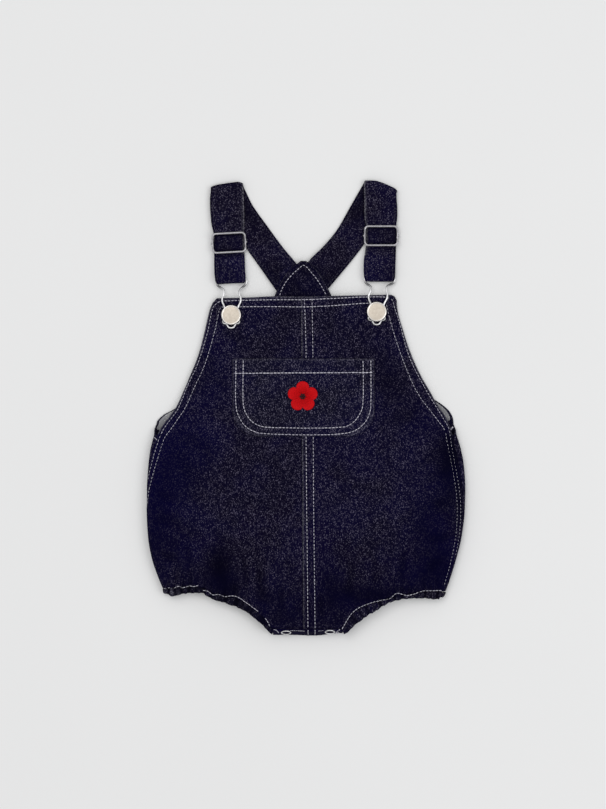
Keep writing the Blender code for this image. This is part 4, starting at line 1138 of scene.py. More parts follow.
def front_panel(side):
    sign = -1 if side == "right" else 1
    shares = spread([(0.0, 0.10, 0.008), (0.10, 0.90, 0.0086), (0.90, 1.0, 0.0062)])
    nu, nv = len(shares), len(FRONT_BASES)
    P = np.zeros((nu, nv, 3))
    R = np.zeros((nu, nv))
    W = np.zeros((nu, nv))
    for j, base in enumerate(FRONT_BASES):
        _, _, _, _, _, _, flat, rounded = front_run(base, side)
        for i, u in enumerate(shares):
            run = u * (flat + rounded)
            P[i, j] = front_spot(side, run, base)
            R[i, j], W[i, j] = run, flat + rounded - run
    N = normals_of(P, sign)
    X, Y = P[..., 0], P[..., 1]
    folds = crease_field(X, Y, CREASES) * soft(W / 10.0) * (1.2 + 0.5 * soft((-70.0 - Y) / 50.0))
    folds += 1.25 * gather_field(X, Y) * soft(W / 6.0)
    H = folds + groove(X, Y, FRONT_STITCH)
    H += groove(X, Y, LEG_STITCH_RIGHT if side == "right" else LEG_STITCH_LEFT, 0.30, 1.0, 0.16, 5.0)
    arm = [(ARMHOLE.at(b, side), row_y(ARMHOLE.at(b, side), b)) for b in np.linspace(-22, 90, 24)]
    bib = [(x, BIB_TOP.at(x, "y")) for x in np.linspace(-76, 75, 30)]
    hem = np.maximum(soft((( 7.4 if side == "right" else 8.6) - away(X, Y, arm)[0]) / 1.0),
                     soft((8.6 - away(X, Y, bib)[0]) / 1.0))
    below = np.array([b < UNDERARM for b in FRONT_BASES])[None, :]
    side_hem = soft((5.4 - W) / 0.9) * below
    H += 0.30 * np.maximum(hem, side_hem)
    if side == "right":
        H -= 0.50 * soft((4.2 - R) / 2.6)
    else:
        H += 0.52 * soft((9.3 - R) / 1.0) * soft((R + 3.0) / 2.0)
    P = P + N * H[..., None]
    # painted highlight along the armholes and the bib top, and a stronger one along the left front's
    # centre edge
    edge = np.maximum(np.exp(-(W / 0.8) ** 2) * ~below, 0.0)
    edge = np.maximum(edge, np.exp(-((np.array(FRONT_BASES)[None, :] - BASE_TOP) / 0.9) ** 2)
                      * np.ones((nu, 1)))
    edge = np.maximum(edge * 0.6, (0.85 * np.exp(-(R / 0.7) ** 2)) if side == "left" else 0.0)
    # painted shade: the SHADES zones, darker in the crease troughs and a little lighter, painted
    # light, on their ridges, and on the wearer's left darker beyond the side stitches below the
    # underarm
    shade, indigo = shade_field(X, Y)
    shade = 1 - (1 - shade) * (1 - np.clip(-folds * 0.36, -0.12, 0.5))
    if side == "left":
        shade = 1 - (1 - shade) * (1 - 0.5 * soft((6.0 - W) / 1.5) * below * soft((Y + 110.0) / 30.0))
    return shell("front_cloth_" + side, P, CLOTH, sign, [DENIM, WRONG],
                 pick=lambda i, j: 1, rim_highlight=edge, shade=shade, indigo=indigo)


def back_lines(side):
    sign = -1 if side == "right" else 1
    edge = [(BACK_TOP.at(b, side), b) for b in np.linspace(119.0, -12.0, 40)]

    def inside(gap):
        out = []
        for k in range(1, len(edge) - 1):
            (ax, ay), (bx, by) = edge[k - 1], edge[k + 1]
            dx, dy = bx - ax, by - ay
            size = math.hypot(dx, dy)
            out.append((edge[k][0] - sign * gap * abs(dy) / size, edge[k][1] - gap * abs(dx) / size))
        return out
    centre = [(sign * 2.6 if side == "right" else 2.4, y) for y in np.linspace(110.0, -176.0, 30)]
    lines = [inside(2.0), inside(7.6)]
    if side == "left":
        lines += [centre, [(x + 5.6, y) for x, y in centre]]
    hem = [(x, HEM.at(x, "panel") + 1.4) for x in
           np.linspace(-112.0, -30.0, 26) * (1 if side == "right" else -1)]
    lines.append([(x, y) for x, y in hem])
    return lines


BACK_BASES = spread([(BASE_HEM, -140.0, 1.6), (-140.0, -26.0, 2.6), (-26.0, -8.0, 0.75),
                     (-8.0, 104.0, 2.8), (104.0, 120.4, 1.2)])


def back_panel(side):
    sign = -1 if side == "right" else 1
    shares = spread([(0.0, 0.12, 0.015), (0.12, 0.86, 0.02), (0.86, 1.0, 0.0045)])
    nu, nv = len(shares), len(BACK_BASES)
    P = np.zeros((nu, nv, 3))
    for j, base in enumerate(BACK_BASES):
        for i, u in enumerate(shares):
            P[i, j] = back_spot(side, u, base)
    N = normals_of(P, -sign)
    X, Y, Z = P[..., 0], P[..., 1], P[..., 2]
    low = soft((1.6 - Z) / 0.8)
    rise = -crease_field(X, Y, BACK_CREASES) * low
    rise = np.maximum(rise, 0.0) * 1.25
    # painted shade on the back's outer face in its crease valleys and, below, by the gathers
    valley = np.clip(rise * 0.5, 0.0, 0.55)
    rise -= groove(X, Y, back_lines(side), 0.28, 0.9, 0.0, 4.0) * low
    edge_gather = -gather_field(X, Y) * low
    rise += np.maximum(edge_gather, 0.0) * 1.1
    valley = 1 - (1 - valley) * (1 - np.clip(edge_gather * 0.5, 0.0, 0.5))
    rise = np.minimum(rise, 1.4)
    P = P - N * np.maximum(rise, 0.0)[..., None]
    under = np.array([b >= UNDERARM for b in BACK_BASES])[None, :]
    U = np.array(shares)[:, None]
    # a faint painted highlight at the rim above the underarm
    edge = np.exp(-((1 - U) / 0.006) ** 2) * under * 0.2
    hem, foot = (0.9855, -18.9) if side == "right" else (0.9805, -11.6)
    # painted shade on the wrong side seen through the underarm gaps: on the right darker lower down,
    # on the left darker overall and more so lower down, only between y -40 and 20
    if side == "right":
        shade = 0.45 * soft((-9.0 - Y) / 9.0)
    else:
        shade = 0.30 + 0.22 * soft((-4.0 - Y) / 8.0)
    shade = shade * soft((Y + 40.0) / 10.0) * soft((20.0 - Y) / 10.0)

    def lining(i, j):
        if shares[i] > 0.86 and BACK_BASES[j] < foot + 50.0 * (shares[i] - 0.95):
            return 0
        return 2 if shares[i] > hem else 1

    return shell("back_cloth_" + side, P, CLOTH, -sign, [DENIM, WRONG, BAND_DENIM],
                 pick=lining, rim_highlight=edge, shade=(valley, shade))


front_right, front_left = front_panel("right"), front_panel("left")
back_right, back_left = back_panel("right"), back_panel("left")
front_tree = surface(front_right, front_left)
back_tree = surface(back_right, back_left)


def on_front(p):
    return above(front_tree, p[0], p[1])


def near_front(p):
    """Nearest spot of the front to a point at the side fold's height."""
    hit = above(front_tree, p[0], p[1])
    if hit[0] is not None and hit[1].z > 0.25:
        return hit
    return None, None


def under_back(p):
    return above(back_tree, p[0], p[1], -20.0, 1.0)


# --------------------------------------------------------- facing of the back
def facing_cloth():
    rows = spread([(64.0, 104.0, 2.0), (104.0, 120.6, 1.0)])
    shares = np.linspace(0.0, 1.0, 33)
    P = np.zeros((len(shares), len(rows), 3))
    for j, y in enumerate(rows):
        right, left, mid = (FACING.at(y, n) for n in ("right", "left", "middle"))
        for i, u in enumerate(shares):
            s = 2 * u - 1
            P[i, j] = (right + (left - right) * u, y, mid + 0.35 * (1 - s * s) - 0.25 * abs(s) ** 6)
    X, Y = P[..., 0], P[..., 1]
    P[..., 2] += groove(X, Y, FACING_STITCH, 0.18, 0.8, 0.05, 3.0)
    edge = np.zeros(P.shape[:2])
    # painted highlight along both side rims
    edge[0], edge[-1] = 0.35, 0.35
    # painted shade over the whole facing, darker towards its lower end next to the bib
    return shell("facing_cloth", P, 0.9, 1, [DENIM], rim_highlight=edge,
                 shade=0.30 + 0.25 * soft((102.0 - Y) / 14.0))


FACING_STITCH = [
    [(-21.4, 92.0), (-19.6, 97.0), (-16.2, 103.2), (-12.2, 108.2), (-8.4, 112.0), (-4.2, 115.6),
     (-1.9, 117.2), (0.8, 115.8), (4.6, 111.4), (8.6, 106.6), (12.4, 101.0), (15.6, 95.4),
     (17.2, 92.0)],
]
facing = facing_cloth()
facing_tree = surface(facing)


# --------------------------------------------------------------------- pocket
def pocket_cloth():
    bend = [POCKET_BOTTOM + POCKET_CORNER * (1 - math.cos(math.radians(a)))
            for a in np.linspace(0, 90, 22)]
    rows = bend + spread([(bend[-1], POCKET_TOP, 1.6)])[1:]
    shares = spread([(0.0, 0.08, 0.008), (0.08, 0.92, 0.0125), (0.92, 1.0, 0.008)])
    nu, nv = len(shares), len(rows)
    P = np.zeros((nu, nv, 3))
    for j, y in enumerate(rows):
        turn = max(0.0, POCKET_BOTTOM + POCKET_CORNER - y)
        inset = POCKET_CORNER - math.sqrt(max(0.0, POCKET_CORNER ** 2 - turn ** 2))
        for i, u in enumerate(shares):
            x = POCKET_RIGHT + inset + (POCKET_LEFT - POCKET_RIGHT - 2 * inset) * u
            hit, _ = above(front_tree, x, y)
            P[i, j] = (x, y, hit.z if hit is not None else front_height(x, y) + 0.45)
    Z = P[..., 2].copy()
    for _ in range(10):
        Q = np.pad(Z, 1, mode="edge")
        Z = np.maximum(Z, (Q[:-2, 1:-1] + Q[2:, 1:-1] + Q[1:-1, :-2] + Q[1:-1, 2:]) / 4)
    X, Y = P[..., 0], P[..., 1]
    rim = [(POCKET_RIGHT, POCKET_TOP), (POCKET_RIGHT, 6.0), (POCKET_RIGHT + 0.4, -3.5),
           (-53.6, -14.0), (-43.0, -21.4), (-36.0, -23.0), (33.0, -23.0), (40.0, -21.4),
           (50.4, -14.0), (POCKET_LEFT - 0.4, -3.5), (POCKET_LEFT, 6.0), (POCKET_LEFT, POCKET_TOP)]
    D, _ = away(X, Y, rim)
    loose = soft((D - 6.0) / 16.0)
    H = 0.10 + 0.45 + 0.30 * loose + 0.5 * loose * soft((Y - 8.0) / 30.0)
    H += 0.30 * soft((Y - 27.6) / 1.0) + 0.22 * soft((7.8 - D) / 0.9)
    H += groove(X, Y, POCKET_STITCH, 0.20, 0.85, 0.08, 3.0)
    H += crease_field(X, Y, [
        (-40.0, -12.0, -22.0, 10.0, 2.0, 4.0, 0.30), (36.0, -10.0, 16.0, 8.0, -2.0, 4.0, 0.28),
        (-30.0, 27.0, 2.0, 22.0, 2.0, 4.5, 0.25), (14.0, 26.0, 44.0, 20.0, -2.0, 4.0, 0.25)])
    P[..., 2] = Z + H
    # painted highlight round the pocket's rim and along its top
    edge = np.exp(-(D / 0.7) ** 2) * 0.36
    edge = np.maximum(edge, np.exp(-((Y - POCKET_TOP) / 0.8) ** 2) * 0.4)
    return shell("pocket_cloth", P, CLOTH, 1, [POCKET_DENIM, WRONG], pick=lambda i, j: 1,
                 rim_highlight=edge)


pocket = pocket_cloth()
pocket_tree = surface(pocket)


# ------------------------------------------------------------- flower patch
def flower_piece():
    """Five-petalled flower of satin stitch; flower_knots adds its knotted middle."""
    cx, cy = PATCH_CENTRE
    turns, rings = 440, 22
    verts, faces = [], []
    top = []
    for k in range(rings + 1):
        r = k / rings
        row = []
        for q in range(turns):
            angle = 2 * math.pi * q / turns
            petal = abs(math.cos(2.5 * (angle - math.pi / 2)))
            radius = PATCH_RADIUS * (0.66 + 0.34 * petal ** 0.55) * r
            x, y = cx + radius * math.cos(angle), cy + radius * math.sin(angle)
            hit, _ = above(pocket_tree, x, y)
            swell = (1 - r ** 6) ** 0.5 if r < 1 else 0.0
            valley = 1 - 0.55 * (1 - petal) ** 3 * min(1.0, 2.2 * r)
            thread = 0.09 * math.sin(angle * 88) * min(1.0, 2.2 * r)
            z = hit.z + 0.12 + (1.0 * valley + thread) * swell
            row.append(len(verts))
            verts.append((x, y, z))
        top.append(row)
    bottom = []
    for q in range(turns):
        x, y, _ = verts[top[-1][q]]
        hit, _ = above(pocket_tree, x, y)
        bottom.append(len(verts))
        verts.append((x * 0.985 + cx * 0.015, y * 0.985 + cy * 0.015, hit.z + 0.03))
    centre_low = len(verts)
    hit, _ = above(pocket_tree, cx, cy)
    verts.append((cx, cy, hit.z + 0.03))
    for a, b in zip(top[1:], top[2:]):
        for q in range(turns):
            w = (q + 1) % turns
            faces.append((a[q], b[q], b[w], a[w]))
    middle = len(verts)
    verts.append((cx, cy, verts[top[1][0]][2]))
    for q in range(turns):
        w = (q + 1) % turns
        faces.append((middle, top[1][q], top[1][w]))
        faces.append((top[-1][q], bottom[q], bottom[w], top[-1][w]))
        faces.append((bottom[q], centre_low, bottom[w]))
    used = sorted({k for f in faces for k in f})
    remap = {k: n for n, k in enumerate(used)}
    obj = new_object("flower_embroidery", [verts[k] for k in used],
                     [tuple(remap[k] for k in f) for f in faces], [RED])
    return obj


flower = flower_piece()


def flower_knots():
    """French knots in the middle of the flower, joined."""
    cx, cy = PATCH_CENTRE
    tree = surface(flower)
    verts, faces = [], []
    spots = [(0.0, 0.0)] + [(1.75 * math.cos(a), 1.75 * math.sin(a))
                            for a in np.linspace(0, 2 * math.pi, 7)[:-1]]
    for n, (dx, dy) in enumerate(spots):
        hit, _ = above(tree, cx + dx, cy + dy)
        coil = []
        for k in range(30):
            a = 2 * math.pi * k / 14 + n
            r = 0.62 - 0.30 * k / 29
            coil.append((cx + dx + r * math.cos(a), cy + dy + r * math.sin(a),
                         hit.z + 0.20 + 0.62 * k / 29))
        v, f = tube(even(np.array(coil), 0.22), 0.30, ring=7, cyclic=False)
        faces += [tuple(len(verts) + k for k in face) for face in f]
        verts += list(v)
    return new_object("flower_knots", verts, faces, [KNOT])


knots = flower_knots()


# --------------------------------------------------------------------- straps
def strap_stations(rows):
    out = []
    for row in rows:
        if "fold" not in row:
            out.append((np.array((*row["outer"], row["z"])), np.array((*row["inner"], row["z"]))))
            continue
        radius = (row["high"] - row["low"]) / 2
        push = Vector((*row["push"], 0.0)).normalized()
        rising = row["fold"] == "shoulder"
        outer, inner = Vector((*row["outer"], 0.0)), Vector((*row["inner"], 0.0))
        side = (inner - outer).normalized()
        for k in range(7):
            angle = math.pi * k / 6
            z = row["low"] + radius * (1 - math.cos(angle if rising else math.pi - angle))
            shift = push * radius * math.sin(angle) + Vector((0, 0, z))
            squeeze = side * row.get("pinch", 0.0) * math.sin(angle)
            out.append((np.array(outer + squeeze + shift), np.array(inner - squeeze + shift)))
    return out


# how far the strap's fold stands out past a straight line, across its width
SHOULDER = dict(
    right=((0.0, 0.06, 0.23, 0.6, 0.86, 0.94, 1.0), (0.0, 0.7, 1.5, 1.6, 1.3, 0.4, -0.8)),
    left=((0.0, 0.04, 0.13, 0.45, 0.66, 0.85, 0.93, 1.0),
          (1.8, 2.7, 3.3, 3.5, 3.4, 1.7, 0.8, 0.0)),
)


def strap_cloth(name, rows):
    stations = strap_stations(rows)
    both = np.array([np.concatenate([a, b]) for a, b in stations])
    middle = (both[:, :3] + both[:, 3:]) / 2
    dense = []
    ext = np.vstack([2 * both[0] - both[1], both, 2 * both[-1] - both[-2]])
    mid = np.vstack([2 * middle[0] - middle[1], middle, 2 * middle[-1] - middle[-2]])
    for i in range(1, len(ext) - 2):
        d = [max(np.linalg.norm(mid[i + k] - mid[i + k - 1]) ** 0.5, 1e-3) for k in (0, 1, 2)]
        p0, p1, p2, p3 = ext[i - 1:i + 3]
        m1 = ((p1 - p0) / d[0] - (p2 - p0) / (d[0] + d[1]) + (p2 - p1) / d[1]) * d[1]
        m2 = ((p2 - p1) / d[1] - (p3 - p1) / (d[1] + d[2]) + (p3 - p2) / d[2]) * d[1]
        count = max(2, int(np.linalg.norm(mid[i + 1] - mid[i]) / 1.5) + 1)
        for q in np.arange(count) / count:
            dense.append((2 * q ** 3 - 3 * q ** 2 + 1) * p1 + (q ** 3 - 2 * q ** 2 + q) * m1
                         + (-2 * q ** 3 + 3 * q ** 2) * p2 + (q ** 3 - q ** 2) * m2)
    dense.append(ext[-2])
    shares = [0.0, 0.02, 0.05, 0.09, 0.14, 0.22, 0.32, 0.42, 0.5, 0.58, 0.68, 0.78, 0.86, 0.91,
              0.95, 0.98, 1.0]
    P = np.array([[d[:3] + (d[3:] - d[:3]) * u for d in dense] for u in shares])
    U = np.array(shares)[:, None]
    length = np.cumsum([0.0] + [np.linalg.norm(P[8, k + 1] - P[8, k]) for k in range(P.shape[1] - 1)])
    S = length[None, :]
    key = "right" if rows is STRAP_RIGHT else "left"
    crown = length[int(np.argmax(P[8, :, 1]))]
    full = np.interp(shares, *SHOULDER[key])[:, None] * np.exp(-((S - crown) / 8.0) ** 2)
    push = next(Vector((*row["push"], 0.0)).normalized() for row in rows if "fold" in row)
    P = P + np.array(push)[None, None, :] * full[..., None]
    N = normals_of(P, 1)
    H = 0.14 * (1 - (2 * U - 1) ** 2) - 0.12 * (np.exp(-((U - 0.07) / 0.02) ** 2)
                                               + np.exp(-((U - 0.93) / 0.02) ** 2))
    H = H + 0.05 * pucker(S + 9 * U, 2.0) * (1 - 0.6 * np.abs(2 * U - 1))
    P = P + N * H[..., None]
    over = P[..., 2] > 2.4
    Y = P[..., 1]
    # painted highlight: a pale line along the inner edge of the top ply, above y 125
    edge = np.exp(-((1 - U) / 0.03) ** 2) * 0.9 * over * (Y > 125.0)
    # painted shade on the under ply, darker towards the shoulder fold and towards its lower end, and
    # a little everywhere
    under = soft((Y - 142.0) / 26.0) * 0.42 + soft((124.0 - Y) / 12.0) * 0.35 + 0.08
    (sx, sy), turn = HARDWARE[key]["slider"], math.radians(HARDWARE[key]["slider_turn"])
    from_slider = (Y - sy) * math.cos(turn) - (P[..., 0] - sx) * math.sin(turn)
    # painted shade round the slider: over the strap between its bars, darkest near the bars and the
    # strap's sides, and just below the slider
    slider_shade = soft((8.6 - np.abs(from_slider)) / 1.2)
    slider_shade *= 0.25 + 0.45 * np.maximum(np.exp(-((np.abs(from_slider) - 6.6) / 1.7) ** 2),
                                       np.exp(-((0.5 - np.abs(U - 0.5)) / 0.09) ** 2))
    slider_shade = np.maximum(slider_shade, 0.5 * np.exp(-((from_slider + 10.0) / 2.0) ** 2))
    # top ply: the painted shade round the slider, painted shade along its outer edge and towards its
    # lower end, and a painted bluer tint below y 128; under ply: the painted shade above
    shade = np.where(over, np.maximum(slider_shade, 0.30 * np.exp(-(U / 0.05) ** 2)
                                      + 0.15 * soft((119.0 - Y) / 6.0)), under)
    return shell(name, P, 1.5, 1, [STRAP_DENIM], rim_highlight=edge, shade=shade,
                 indigo=0.25 * soft((128.0 - Y) / 6.0) * over)


strap_right = strap_cloth("strap_cloth_right", STRAP_RIGHT)
strap_left = strap_cloth("strap_cloth_left", STRAP_LEFT)


# ------------------------------------------------------------------ leg bands
def band_cloth(side):
    """Casing over elastic, gathered into uneven ruffles, flattened."""
    sign = -1 if side == "right" else 1
    start = CROTCH[0] - 0.1 if side == "right" else CROTCH[1] + 0.1
    top, fold, _, edge = side_values(BASE_HEM, side)
    stations = []

    def rim(x, level, turn, gather, share):
        y0, y1 = HEM.at(x, "panel") + 0.5, HEM.at(x, "band")
        slope = (HEM.at(x + 0.5, "band") - HEM.at(x - 0.5, "band")
                 + HEM.at(x + 0.5, "panel") - HEM.at(x - 0.5, "panel")) / 2
        cos = 1 / math.hypot(1.0, slope)
        half = (y0 - y1) * cos / 2 - 0.15
        stations.append(dict(at=np.array((x, (y0 + y1) / 2 - 0.35, level + 0.35 * gather * share)),
                             slope=slope, half=max(half + 0.55 * gather * share, 1.2),
                             thick=max(0.8, 1.28 + 0.60 * gather * share), turn=turn,
                             fold=gather * share))

    centre = CENTRE_SEAM.at(BASE_HEM, "x")
    for x in np.linspace(start, top, 190):
        s = sign * abs(x - centre) / abs(top - centre)
        g = (gather_at(x) + 0.32 * math.sin(0.92 * x + 1.6 * math.sin(0.27 * x))
             + 0.12 * math.sin(2.3 * x + 1.1 * math.sin(0.43 * x + 1.0)))
        rim(x, dome(BASE_HEM, s) - 0.05, 0.0, g, min(1.0, abs(x - start) / 4))
    front_level, back_level = stations[-1]["at"][2], 1.45
    radius = (front_level - back_level) / 2
    y = stations[-1]["at"][1]
    for k in range(1, 14):
        angle = math.pi * k / 14
        wave = 0.18 * math.sin(2.4 * k)
        stations.append(dict(at=np.array((top + sign * radius * 1.1 * math.sin(angle),
                                          y + 0.3 * math.sin(angle),
                                          back_level + radius * (1 + math.cos(angle)))),
                             slope=0.0, half=2.1 + wave, thick=1.2 + wave * 0.5, turn=angle,
                             fold=wave))
    for x in np.linspace(top, start, 100):
        g = 0.8 * gather_at(x - 2.6) + 0.12 * math.sin(1.7 * x + 0.5)
        rim(x, back_level, math.pi, g * 0.7, min(1.0, abs(x - start) / 4))
        stations[-1]["thick"] = min(stations[-1]["thick"], 1.42)
        stations[-1]["at"][2] = back_level
    ring, wall = 20, 0.55
    verts, faces, values, ridge_highlight = [], [], [], []
    for inset in (0.0, wall):
        for st in stations:
            slant = (0.7 if side == "right" else 2.3) * smooth((sign * st["at"][0] - 103.0) / 10.0)
            up = np.array((sign * math.sin(st["turn"]), 0.0, math.cos(st["turn"])))
            norm = math.hypot(1.0, st["slope"])
            out = np.array((st["slope"] / norm, -1.0 / norm, 0.0))
            for q in range(ring):
                a = 2 * math.pi * q / ring
                c, s = math.cos(a), math.sin(a)
                c = math.copysign(abs(c) ** 0.8, c)
                s = math.copysign(abs(s) ** 0.75, s)
                verts.append(st["at"] + out * (st["half"] - inset) * c
                             + up * (st["thick"] - inset) * s
                             - np.array((sign * slant * (c + 1) / 2, 0.0, 0.0)))
                outer = smooth((-99.0 - st["at"][0]) / 8.0) if side == "right" else 0.0
                # painted shade: darker in the gathers' troughs, lighter on their ridges, and on the
                # right band darker except at its outer end
                values.append(min(0.85, max(0.0, 0.22 - 0.75 * st["fold"]
                                            + (0.30 * (1 - outer) if side == "right" else 0.0))))
                # painted highlight on the ridge tops at the right band's outer end
                ridge_highlight.append(outer * min(0.8, max(0.0, 0.25 + 0.9 * st["fold"] + 0.3 * c)))
    n = len(stations)
    inner = n * ring
    for k in range(n - 1):
        for q in range(ring):
            w = (q + 1) % ring
            a, b, c, d = k * ring + q, k * ring + w, (k + 1) * ring + w, (k + 1) * ring + q
            faces.append((a, b, c, d))
            faces.append((inner + d, inner + c, inner + b, inner + a))
    for q in range(ring):
        w, last = (q + 1) % ring, (n - 1) * ring
        faces.append((w, q, inner + q, inner + w))
        faces.append((last + q, last + w, inner + last + w, inner + last + q))
    obj = new_object("band_cloth_" + side, verts, faces, [BAND_DENIM])
    for label, found in (("shade", values), ("edge", ridge_highlight)):
        attribute = obj.data.attributes.new(label, "FLOAT", "POINT")
        attribute.data.foreach_set("value", np.array(found, np.float32))
    return obj


band_right, band_left = band_cloth("right"), band_cloth("left")


# --------------------------------------------------------------------- crotch
def crotch_wave(x, y):
    """The crotch edge hangs a little in the middle and lifts at its left end."""
    low = min(1.0, max(0.0, (-181.2 - y) / 4.9))
    return low * (1.5 * smooth((x - 11.0) / 17.0) - 0.55 * math.exp(-((x - 5.0) / 9.0) ** 2))


def placket(name, section, lines):
    path = spline([(0.0, y, z) for y, z in section], 0.7)
    xs = np.linspace(CROTCH[0], CROTCH[1], 64)
    P = np.array([[(x, p[1] + crotch_wave(x, p[1]), p[2]) for p in path] for x in xs])
    N = normals_of(P, 1)
    S = xs[:, None]
    H = 0.10 * pucker(S * 1.3, 3.0) * np.ones((1, P.shape[1]))
    P = P + N * H[..., None] * 0.8
    edge = np.zeros(P.shape[:2])
    # painted highlight along the last row's rim
    edge[:, -1] = 0.3
    # painted shade over the whole crotch piece, darkest in its middle, with a painted bluer tint
    return shell(name, P, 1.1, 1, [DENIM], rim_highlight=edge,
                 shade=0.30 + 0.25 * np.exp(-((S - 1.0) / 24.0) ** 2), indigo=0.45)


crotch_front = placket("crotch_cloth_front", CROTCH_FRONT, None)
crotch_back = placket("crotch_cloth_back", CROTCH_BACK, None)
crotch_tree = surface(crotch_front)


# ------------------------------------------------------------------- stitches
sewn_front = Threads()
for line in BIB_STITCH:
    sewn_front.sew(line, near_front, share=0.85, radius=0.30)
for line in ARM_STITCH_RIGHT + ARM_STITCH_LEFT:
    sewn_front.sew(line, near_front, share=0.78, radius=0.20)
for line in SIDE_STITCH_RIGHT:
    sewn_front.sew(line, near_front, share=0.70, radius=0.17)
for line in SIDE_STITCH_LEFT:
    sewn_front.sew(line, near_front, share=0.58,
                   radius=lambda p: 0.13 if p[1] > -32.0 else 0.08 if p[1] > -54.0 else 0.11)
for line in CENTRE_STITCH:
    sewn_front.sew(line, on_front, radius=0.25,
                   skip=lambda p: POCKET_BOTTOM - 0.5 < p.y < POCKET_TOP + 0.5)
hem_tree = surface(front_right, front_left, band_right, band_left)
for line in LEG_STITCH_RIGHT + LEG_STITCH_LEFT:
    sewn_front.sew(line, lambda p: above(hem_tree, p[0], p[1]), pitch=2.7, share=0.92, radius=0.26)
front_thread = sewn_front.build("stitches_front", THREAD)

sewn_pocket = Threads()
for line, share, radius in zip(POCKET_STITCH, (0.84, 0.86, 0.94), (0.29, 0.31, 0.39)):
    sewn_pocket.sew(line, lambda p: above(pocket_tree, p[0], p[1]), share=share, radius=radius)
pocket_thread = sewn_pocket.build("stitches_pocket", THREAD)

sewn_back = Threads()
for side in ("right", "left"):
    for line in back_lines(side):
        sewn_back.sew(line, under_back, radius=0.28)
back_thread = sewn_back.build("stitches_back", THREAD)

sewn_facing = Threads()
for line in FACING_STITCH:
    sewn_facing.sew(line, lambda p: above(facing_tree, p[0], p[1]), radius=0.28)
facing_thread = sewn_facing.build("stitches_facing", THREAD)

sewn_crotch = Threads()
corner_tree = surface(crotch_front, band_left, band_right, front_left, front_right)


def corner_seat(p):
    """Top of the crotch's corner; past the rounded edge, the last cloth before it."""
    for inward in (0.0, 0.3, 0.6, 0.9, 1.2, 1.6):
        hit = above(corner_tree, p[0], p[1] + inward)
        if hit[0] is not None:
            return hit
    return None, None


for line, radius in (([(-26.6, -181.3), (-24.2, -181.9), (-22.4, -183.6), (-21.2, -185.4)], 0.28),
                     ([(-13.0, -182.3), (-6.0, -182.4), (0.0, -182.7)], 0.17),
                     ([(10.0, -182.6), (16.0, -182.3)], 0.13),
                     ([(28.6, -181.0), (26.9, -182.3), (25.2, -183.6), (24.0, -184.2)], 0.34),
                     ([(24.6, -183.2), (26.2, -184.0), (28.4, -184.9)], 0.36),
                     ([(24.2, -183.9), (25.8, -184.7), (27.6, -185.3)], 0.30),
                     ([(2.0, -181.3), (2.1, -186.3)], 0.27), ([(7.8, -181.3), (7.9, -186.3)], 0.27)):
    sewn_crotch.sew(line, corner_seat, pitch=1.5, share=0.92, radius=radius)
# bar tacks where the side seams end at the underarm
for a, b in (((-125.1, -23.3), (-121.9, -25.9)), ((122.4, -13.8), (118.5, -18.0))):
    tack = []
    for k in range(3):
        dx = 0.28 * k
        tack.append([(a[0] + dx, a[1] - dx), ((a[0] + b[0]) / 2 + dx, (a[1] + b[1]) / 2 - dx),
                     (b[0] + dx, b[1] - dx)])
    both = surface(front_right, front_left, back_right, back_left)
    for line in tack:
        sewn_crotch.sew(line, lambda p: above(both, p[0], p[1]), pitch=1.6, share=0.95, radius=0.22)
crotch_thread = sewn_crotch.build("stitches_crotch", THREAD)

strap_tree = surface(strap_right, strap_left)
sewn_strap = Threads()


def on_strap(p):
    """Top of the strap at a point of one of its plies, if nothing covers it."""
    hit, up = above(strap_tree, p[0], p[1])
    if hit is None or abs(hit.z - p[2]) > 1.3:
        return None, None
    return hit, up


for rows in (STRAP_RIGHT, STRAP_LEFT):
    for share in (0.07, 0.93):
        for first, last in ((1, 6), (13, 16), (19, 24)):
            sewn_strap.sew([tuple(a + (b - a) * share + (0.0, 0.0, 0.75))
                            for a, b in strap_stations(rows)[first:last]], on_strap, radius=0.24)
strap_thread = sewn_strap.build("stitches_straps", DARK_THREAD)


# ------------------------------------------------------------------- hardware
def clasp_points(side):
    h = HARDWARE[side]
    bx, by = h["button"]
    mx, my = h["bar"]
    turn = math.radians(h["bar_turn"])

    def spot(sign, row):
        up, half = row["up"], row["half"]
        x = bx + h["lean"] * max(up, 0.0) + sign * half
        y = by + up
        if up > 24.0:
            x = mx + sign * half * math.cos(turn)
            y = my + (up - CLASP[0]["up"]) + sign * half * math.sin(turn)
            return (x, y, row["z"])
        on_bib = front_height(x, y) + 0.6 + 0.3 + 0.1 + 0.75
        if up > 15.0:
            share = smooth((24.0 - up) / 8.0)
            return (x, y, row["z"] * (1 - share) + on_bib * share)
        return (x, y, on_bib)

    return [spot(-1, row) for row in CLASP] + [spot(1, row) for row in CLASP[::-1]]


def clasp_piece(side):
    P = closed_spline(clasp_points(side), 0.55)
    v, f = tube(P, 0.84, ring=14)
    obj = new_object("clasp_wire_" + side, v, f, [NICKEL])
    up = np.array(v)[:, 1] - HARDWARE[side]["bar"][1] + CLASP[0]["up"]
    # painted shade on the wire: dark on the slanting wires just below the bar that holds the strap,
    # and on the loop under the button
    shade = 0.88 * np.exp(-((up - 23.4) / 2.1) ** 2) + 0.45 * np.exp(-((up + 5.4) / 1.6) ** 2)
    attribute = obj.data.attributes.new("shade", "FLOAT", "POINT")
    attribute.data.foreach_set("value", shade.astype(np.float32))
    return obj


